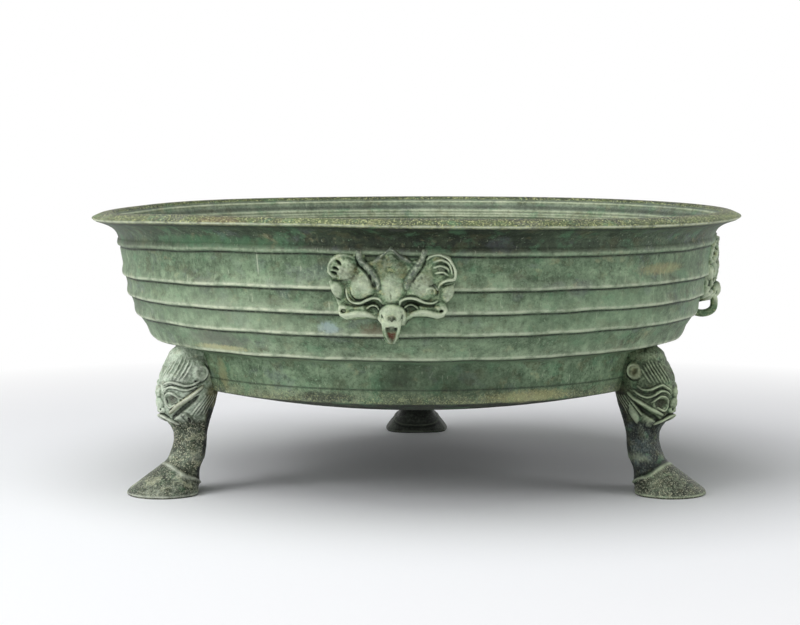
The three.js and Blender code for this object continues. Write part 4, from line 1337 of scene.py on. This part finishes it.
@dataclass(frozen=True)
class Patina:
    """An old bronze skin: mottled, pale on crests, dark in crevices, with crusts, stains and grit, and with
    painted highlight and shade from the marks.

    Args:
        name: the material's name.
        tones: its main colours.
        zones: the marks of places that have other tones.
        crest: colour of worn crests and of painted highlights.
        crevice: colour of what lies deep, and of painted shade.
        worn: how much of the crests is worn.
        stains: marks, the colours that they are stained and how strongly.
        clouds: hues that lie over it in patches.
        grit: marks of places with pale grit, and how much they have.
        grit_colour: colour of the grit.
        spots: single stains on the wall.
        seam: azimuth of the pale casting seam on the wall, if it has one.
        speckle: how strongly it is flecked.
        sweep: how strongly its tone changes over broad patches.
        forms: how strongly raised forms get painted highlight and hollows painted shade.
        streaks: how strongly it is streaked downwards.
        pitting: height of its roughness, in mm.
        metallic: how much bare metal shows.
        roughness: how dull it is.
    """

    name: str
    tones: Tones
    zones: tuple[tuple[str, Tones], ...] = ()
    crest: Colour = (196, 208, 182)
    crevice: Colour = (26, 30, 26)
    worn: float = 0.8
    stains: tuple[tuple[str, Colour, float], ...] = ()
    clouds: tuple[Cloud, ...] = ()
    grit: tuple[tuple[str, float], ...] = ()
    grit_colour: Colour = (222, 220, 190)
    spots: tuple[Spot, ...] = ()
    seam: float | None = None
    speckle: float = 1.0
    sweep: float = 0.0
    forms: float = 0.0
    streaks: float = 0.0
    pitting: float = 0.5
    metallic: float = 0.12
    roughness: float = 0.56

    # Radius at which a spot's breadth is measured, and where the seam fades out: degrees from its
    # middle, and heights at its foot and top.
    WALL_RADIUS = 165.0
    SEAM_EDGE, SEAM_FOOT, SEAM_TOP = (0.16, 0.06), (126.0, 130.0), (141.0, 138.0)

    def tone(self, shader: Shader, kind: str) -> Paint:
        """Give one of the three tones.

        Args:
            shader: the material.
            kind: which one, as Tones names it.

        Returns:
            Its colour, changed from zone to zone.
        """
        colour = getattr(self.tones, kind)
        for mark, tones in self.zones:
            colour = shader.mixed(shader.mark(mark), colour, getattr(tones, kind))
        return colour

    def build(self) -> bpy.types.Material:
        """Make the material.

        Returns:
            The material: broad and fine clouds mix the tones, hues and stains lie over them, and
            marks add wear, and painted highlight and shade for form and depth.
        """
        shader = Shader(self.name)
        broad = shader.noise(size=16.0, seed=1.0, detail=5.0, flat=1.6)
        patch = shader.noise(size=6.0, seed=2.0, detail=5.0, flat=1.5)
        fleck = shader.noise(size=1.8, seed=3.0, detail=3.0)
        grain = shader.noise(size=0.75, seed=4.0, detail=2.0)
        cloud = broad * 0.5 + patch * 0.5
        pale, dark = self.tone(shader, "pale"), self.tone(shader, "dark")
        tones, mid = (pale, dark), self.tone(shader, "mid")
        colour = shader.mottled(mid, tones, cloud, ((0.5, 0.6), (0.48, 0.38)), (0.7, 0.8))
        for hue in self.clouds:
            patches = shader.noise(hue.size, hue.seed, 5.0, hue.flat).between(hue.cut, hue.cut + 0.06)
            colour = shader.mixed(patches * hue.share, colour, hue.colour)
        if self.sweep:
            wide = shader.noise(size=52.0, seed=5.0, detail=2.0, flat=2.2)
            cuts = (0.5, 0.66), (0.5, 0.34)
            colour = shader.mottled(colour, tones, wide, cuts, (self.sweep, self.sweep))
        for field, cuts, shares in (
            (fleck, ((0.54, 0.66), (0.46, 0.34)), (0.6, 0.75)),
            (grain, ((0.57, 0.66), (0.44, 0.36)), (0.4, 0.5)),
        ):
            shares = tuple(share * self.speckle for share in shares)
            colour = shader.mottled(colour, tones, field, cuts, shares)
        if self.streaks:
            colour = self.streaked(shader, colour, tones)
        colour = self.placed(shader, colour)
        # Painted shade on low places and painted highlight on high ones, to model the forms.
        if self.forms:
            low = shader.mark("low") * (patch.between(0.62, 0.4) * 0.4 + 0.6)
            high = shader.mark("high") * (patch.between(0.36, 0.56) * 0.5 + 0.5)
            colour = shader.mixed(low * self.forms, colour, self.crevice)
            colour = shader.mixed(high * self.forms, colour, self.crest)
        # Worn crests, with the painted highlight that the crest mark carries on the bands.
        worn = shader.mark("crest") * (patch.between(0.38, 0.56) * 0.6 + 0.35) * self.worn
        colour = shader.mixed(worn, colour, self.crest)
        # Dark patina and painted shade in crevices, grooves, under the lip and in the mouths.
        broken = fleck.between(0.36, 0.5) * 0.4 + patch.between(0.36, 0.5) * 0.25 + 0.35
        colour = shader.mixed(shader.mark("crevice") * broken, colour, self.crevice)
        for mark, stain, share in self.stains:
            colour = shader.mixed(shader.mark(mark) * (fleck.between(0.36, 0.54) * share), colour, stain)
        for mark, share in self.grit:
            grit = grain.between(0.55, 0.62) * shader.mark(mark) * share
            colour = shader.mixed(grit, colour, self.grit_colour)
        roughness = (fleck * 0.35 + patch * 0.3 + (self.roughness - 0.33)).clipped()
        height = (fleck + grain * 0.4 + patch * 1.2) * self.pitting
        return shader.finish(colour, roughness, height, self.metallic)

    def streaked(self, shader: Shader, colour: Output, tones: tuple[Paint, Paint]) -> Output:
        """Streak the wall downwards and scratch it finely.

        Args:
            shader: the material.
            colour: the colour so far.
            tones: the pale and the dark tone.

        Returns:
            The streaked colour.
        """
        run = shader.noise(size=2.6, seed=7.0, detail=4.0, flat=0.22)
        cuts = (0.55, 0.66), (0.45, 0.36)
        colour = shader.mottled(colour, tones, run, cuts, (self.streaks, self.streaks))
        lines = shader.noise(size=1.1, seed=8.0, detail=1.0, flat=0.12)
        places = shader.noise(size=9.0, seed=9.0)
        scratch = lines.between(0.66, 0.7) * places.between(0.5, 0.56)
        return shader.mixed(scratch * self.streaks, colour, self.crest)

    def placed(self, shader: Shader, colour: Output) -> Output:
        """Lay on the single spots and the seam.

        Args:
            shader: the material.
            colour: the colour so far.

        Returns:
            The stained colour.
        """
        azimuth = shader.x.angle_from(0.0 - shader.y) * (180.0 / math.pi)
        for spot in self.spots:
            turn = ((azimuth - spot.azimuth) * (self.WALL_RADIUS * math.pi / 180.0 / spot.half[0])).size()
            rise = ((shader.z - spot.height) * (1.0 / spot.half[1])).size()
            gone = turn * turn + rise * rise + shader.noise(spot.grain, spot.height) * 3.0 - 1.5
            colour = shader.mixed(gone.between(1.1, 0.2) * spot.share, colour, spot.colour)
        if self.seam is not None:
            line = (azimuth - self.seam).size().between(*self.SEAM_EDGE)
            line = line * shader.z.between(*self.SEAM_FOOT) * shader.z.between(*self.SEAM_TOP)
            colour = shader.mixed(line * 0.5, colour, self.crest)
        return colour


# Hues that lie over more than one of the patinas.
MALACHITE, SLATE, OLIVE, BUFF = (98, 142, 106), (112, 118, 122), (96, 94, 64), (176, 172, 130)


class Finishes(Enum):
    """The finishes of the basin's pieces."""

    WALL = Patina(
        "wall_patina", Tones((102, 126, 97), (152, 177, 142), (52, 68, 46)),
        zones=(
            ("flare", Tones((80, 97, 76), (118, 138, 110), (42, 53, 38))),
            # Painted shade on the flare, darkest at the front.
            ("flare_shade", Tones((36, 45, 32), (70, 82, 60), (20, 26, 18))),
            ("lip", Tones((60, 74, 40), (110, 126, 76), (28, 36, 20))),
            ("inside", Tones((116, 132, 112), (164, 178, 150), (58, 70, 52))),
            ("ledge", Tones((168, 180, 150), (206, 212, 184), (120, 132, 104))),
            ("foot", Tones((100, 112, 88), (158, 168, 138), (44, 52, 38))),
            ("base", Tones((40, 46, 38), (84, 92, 76), (20, 24, 19))),
        ),
        clouds=(
            Cloud(MALACHITE, 0.5, 14.0, 11.0, 0.56), Cloud(SLATE, 0.35, 19.0, 12.0, 0.56),
            Cloud(OLIVE, 0.4, 12.0, 13.0), Cloud(BUFF, 0.35, 9.0, 14.0, 0.6),
            Cloud((166, 204, 164), 0.6, 1.2, 15.0, 0.63),
        ),
        grit=(("lip", 0.75), ("foot", 0.4)), grit_colour=(206, 210, 150), crest=(218, 226, 198), worn=1.0,
        spots=(
            Spot(-7.6, 99.1, (8.0, 4.0), (96, 62, 44), 0.6),
            Spot(-15.8, 100.2, (6.0, 3.8), (176, 198, 204), 0.5, 2.2),
            Spot(-33.0, 155.2, (16.0, 3.0), (104, 82, 52), 0.5),
            Spot(-66.0, 138.6, (46.0, 3.4), (62, 76, 54), 0.6, 6.0),
            Spot(-20.0, 60.4, (22.0, 3.4), (50, 54, 48), 0.7, 2.0),
            Spot(-3.0, 70.0, (9.0, 5.0), (44, 50, 40), 0.6, 2.4),
            Spot(26.0, 60.0, (34.0, 4.0), (188, 186, 132), 0.5, 0.9),
            Spot(50.0, 127.6, (22.0, 3.6), (176, 166, 112), 0.4, 1.0),
            Spot(-40.0, 103.0, (62.0, 18.0), (164, 186, 154), 0.3, 24.0),
            Spot(36.0, 106.0, (50.0, 18.0), (132, 164, 128), 0.32, 24.0),
            # Painted shade: a broad dark spot darkens the drum's middle at the front.
            Spot(4.0, 69.5, (66.0, 12.0), (36, 48, 30), 0.5, 16.0),
            Spot(-37.0, 143.4, (50.0, 4.2), (84, 130, 92), 0.5, 4.0),
            Spot(-42.0, 90.4, (28.0, 5.0), (106, 98, 100), 0.4, 5.0),
            Spot(-42.0, 85.4, (24.0, 2.0), (206, 198, 142), 0.5, 1.0),
            Spot(-49.5, 69.0, (5.0, 10.0), (150, 146, 104), 0.5, 2.0),
        ),
        seam=-28.4, streaks=0.3, speckle=0.62, sweep=0.3,
    )
    MASK = Patina(
        "mask_patina", Tones((112, 138, 104), (180, 202, 160), (60, 78, 52)),
        stains=(("stain", (98, 92, 58), 0.55), ("horn", (58, 68, 70), 0.75), ("mouth", (98, 34, 24), 0.9)),
        clouds=(
            Cloud(MALACHITE, 0.4, 6.0, 21.0), Cloud(OLIVE, 0.4, 5.0, 22.0),
            Cloud((196, 196, 138), 0.5, 4.0, 23.0),
        ),
        crest=(218, 228, 200), crevice=(28, 36, 26), worn=0.6, forms=0.74, speckle=1.0, pitting=0.5,
    )
    LEFT_LEG = Patina(
        "left_leg_patina", Tones((106, 114, 96), (168, 176, 152), (50, 54, 42)),
        zones=(
            ("shank", Tones((84, 94, 78), (150, 162, 140), (36, 40, 32))),
            ("head", Tones((190, 206, 184), (230, 238, 222), (116, 132, 108))),
            ("cheek", Tones((156, 156, 112), (200, 198, 154), (98, 96, 64))),
            ("hoof", Tones((72, 82, 66), (176, 184, 164), (26, 30, 22))),
            ("nape", Tones((104, 104, 70), (162, 160, 116), (44, 46, 34))),
            # The back tones are painted shade on the shank's flat back.
            ("back", Tones((40, 44, 44), (84, 90, 84), (22, 24, 24))),
        ),
        stains=(("eye", (64, 54, 44), 0.8), ("tuft", (18, 20, 16), 1.2)),
        grit=(("hoof", 0.3), ("shank", 0.6)),
        clouds=(
            Cloud(MALACHITE, 0.25, 6.0, 31.0), Cloud(OLIVE, 0.3, 5.0, 32.0),
            Cloud((34, 38, 28), 0.5, 14.0, 33.0, 0.52), Cloud((204, 206, 172), 0.4, 9.0, 34.0, 0.56),
        ),
        crest=(224, 230, 214), forms=0.5, speckle=0.8, metallic=0.2, pitting=0.4,
    )
    RIGHT_LEG = Patina(
        "right_leg_patina", Tones((58, 66, 58), (104, 114, 106), (28, 32, 28)),
        zones=(
            ("shank", Tones((42, 50, 48), (88, 102, 102), (18, 22, 21))),
            ("head", Tones((90, 106, 80), (160, 178, 142), (34, 42, 28))),
            ("ear", Tones((104, 104, 68), (146, 146, 104), (58, 58, 38))),
            ("cheek", Tones((146, 168, 132), (190, 206, 172), (92, 108, 80))),
            ("tuft", Tones((108, 126, 104), (152, 170, 146), (60, 72, 56))),
            ("hoof", Tones((50, 58, 46), (128, 138, 116), (20, 24, 17))),
            ("nape", Tones((58, 62, 48), (108, 112, 86), (26, 28, 23))),
            # The back tones are painted shade on the shank's flat back.
            ("back", Tones((34, 38, 36), (70, 78, 76), (17, 19, 18))),
        ),
        stains=(("eye", (54, 44, 36), 0.6),), grit=(("hoof", 0.5), ("shank", 0.1)),
        clouds=(Cloud(MALACHITE, 0.4, 6.0, 41.0, 0.56), Cloud(OLIVE, 0.35, 5.0, 42.0)),
        crest=(204, 218, 184), crevice=(18, 22, 16), forms=0.85, speckle=0.9, metallic=0.2, pitting=0.4,
        roughness=0.5,
    )
    # Painted shade: the back leg stands in shadow, so its patina is darker than the right leg's.
    SHADED_BACK_LEG = Patina(
        "shaded_back_leg_patina", Tones((44, 48, 42), (84, 92, 80), (20, 22, 19)),
        crest=(120, 130, 112), metallic=0.2, pitting=0.4,
    )
    RIVET = Patina("rivet_patina", Tones((108, 122, 100), (160, 172, 146), (64, 74, 58)))
    CLAY = Patina("clay", Tones((150, 98, 70), (186, 138, 106), (96, 58, 40)), metallic=0.0, roughness=0.9)


@dataclass(frozen=True)
class Lamp:
    """A soft square lamp that looks at the bowl.

    Args:
        name: the lamp's name.
        place: where it is, in metres.
        size: its side, in metres.
        power: its power, in watts.
        aim: the height that it looks at, in metres.
    """

    name: str
    place: tuple[float, float, float]
    size: float
    power: float
    aim: float = 0.09

    def hang(self) -> None:
        """Hang the lamp, turned towards the middle of the bowl."""
        data = bpy.data.lights.new(self.name, "AREA")
        data.size, data.energy = self.size, self.power
        lamp = bpy.data.objects.new(self.name, data)
        lamp.location = self.place
        x, y, z = self.place[0], self.place[1], self.place[2] - self.aim
        lamp.rotation_euler = (math.atan2(math.hypot(x, y), z), 0.0, math.atan2(x, -y))
        bpy.context.scene.collection.objects.link(lamp)


@dataclass(frozen=True)
class Studio:
    """The pale floor, the lamps, the white surroundings and the camera.

    Args:
        lamps: the lamps.
        floor_colour: colour of the paper on the floor.
        surroundings: how strongly the surroundings light the object.
        fade: from where to where the floor turns as white as the surroundings, in mm from the axis.
        floor_half: half the floor's side, in metres.
        camera_place: where the camera is, in metres.
        camera_dip: how far it looks down, in radians.
        picture_width: how wide the picture is, in pixels.
        focal: its focal length, in those pixels.
        shift: how far the picture's middle lies to the left of its line of sight, in those pixels.
    """

    lamps: tuple[Lamp, ...] = (
        Lamp("top", (-0.3, -0.2, 1.3), 1.4, 14.5),
        Lamp("left", (-1.2, -0.8, 0.75), 0.8, 10.0),
        Lamp("right", (1.3, -0.5, 0.6), 0.8, 4.4),
    )
    floor_colour: Colour = (243, 244, 247)
    surroundings: float = 0.16
    fade: Pair = (260.0, 620.0)
    floor_half: float = 5.0
    camera_place: tuple[float, float, float] = (0.0, -1.2008, 0.20018)
    camera_dip: float = 0.0882
    picture_width: float = 800.0
    focal: float = 2028.5
    shift: float = 16.57

    def light(self) -> None:
        """Hang the lamps; the world is white where it is seen and dimmer as a light."""
        for lamp in self.lamps:
            lamp.hang()
        world = bpy.data.worlds.new("surroundings")
        world.use_nodes = True
        tree = world.node_tree
        strength = shown_directly(tree) * (1.0 - self.surroundings) + self.surroundings
        sky = tree.nodes["Background"]
        sky.inputs["Color"].default_value = (1.0, 1.0, 1.0, 1.0)
        tree.links.new(strength.socket, sky.inputs["Strength"])
        bpy.context.scene.world = world

    def lay_floor(self) -> None:
        """Lay a pale floor that the hooves stand on, white like the surroundings farther away."""
        mesh = bpy.data.meshes.new("floor")
        far = self.floor_half
        mesh.from_pydata([(-far, -far, 0), (far, -far, 0), (far, far, 0), (-far, far, 0)], [], [(0, 1, 2, 3)])
        floor = bpy.data.objects.new("floor", mesh)
        shader = Shader("floor_paper")
        fibre = shader.noise(size=2.0, seed=9.0).between(0.3, 0.7)
        paper = shader.mixed(fibre * 0.5, self.floor_colour, tuple(c - 2.0 for c in self.floor_colour))
        mesh.materials.append(shader.finish(paper, fibre * 0.05 + 0.85, fibre * 0.01, 0.0))
        away = (shader.x * shader.x + shader.y * shader.y).between(self.fade[0] ** 2, self.fade[1] ** 2)
        white = shader.node("ShaderNodeEmission", {}, {"Strength": 1.0})
        blend = shader.node("ShaderNodeMixShader", {}, {
            0: away * shown_directly(shader.tree), 1: shader.surface.outputs[0], 2: white.outputs[0]})
        output = shader.tree.nodes["Material Output"]
        shader.tree.links.new(blend.outputs[0], output.inputs["Surface"])
        bpy.context.scene.collection.objects.link(floor)

    def set_camera(self) -> None:
        """Set the camera a little above the rim's height, 1.2 m in front."""
        data = bpy.data.cameras.new("camera")
        data.lens = self.focal / self.picture_width * data.sensor_width
        data.shift_x = -self.shift / self.picture_width
        camera = bpy.data.objects.new("camera", data)
        camera.location = self.camera_place
        camera.rotation_euler = (math.pi / 2.0 - self.camera_dip, 0.0, 0.0)
        bpy.context.scene.collection.objects.link(camera)
        bpy.context.scene.camera = camera


def settle(piece: bpy.types.Object, finish: bpy.types.Material, node: str) -> None:
    """Give a piece its finish, tie it to the body and let it stand for a node.

    Args:
        piece: the piece.
        finish: its material.
        node: the node that it stands for.
    """
    piece.data.materials.append(finish)
    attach(piece, "root")
    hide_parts(node)


def dress_nodes(rivet: bpy.types.Material, clay: bpy.types.Material) -> None:
    """Give the rivets and cores that stay as they are their own finish.

    Args:
        rivet: the rivets' material.
        clay: the cores' material.
    """
    for name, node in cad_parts.items():
        if "rivet" in name or "core" in name:
            node.data.materials.clear()
            node.data.materials.append(clay if "core" in name else rivet)


def main() -> None:
    """Build the bowl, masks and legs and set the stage."""
    logging.basicConfig(level=logging.INFO)
    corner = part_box("basin")[1] / MM
    bowl = Basin(rim=corner.x, top=corner.z)
    settle(bowl.build(), Finishes.WALL.value.build(), "basin")
    mould = MaskMould(bowl)
    mask_finish = Finishes.MASK.value.build()
    for side, azimuth in MASKS.items():
        for make, part in ((mould.face, "face"), (mould.loop, "loop")):
            settle(make(f"mask_{part}_{side}", azimuth), mask_finish, f"mask_{side}")
    legs = LegMould(bowl)
    looks = ((Finishes.LEFT_LEG, LEFT_HEAD), (Finishes.RIGHT_LEG, RIGHT_HEAD), (Finishes.SHADED_BACK_LEG, LEFT_HEAD))
    for (side, azimuth), (finish, lines) in zip(LEGS.items(), looks):
        cast = legs.cast(f"leg_{side}_cast", azimuth, lines)
        settle(cast, finish.value.build(), f"leg_{side}")
    dress_nodes(Finishes.RIVET.value.build(), Finishes.CLAY.value.build())
    studio = Studio()
    studio.lay_floor()
    studio.light()
    studio.set_camera()
    bpy.context.scene.view_settings.view_transform = "Standard"


if __name__ == "__main__":
    main()
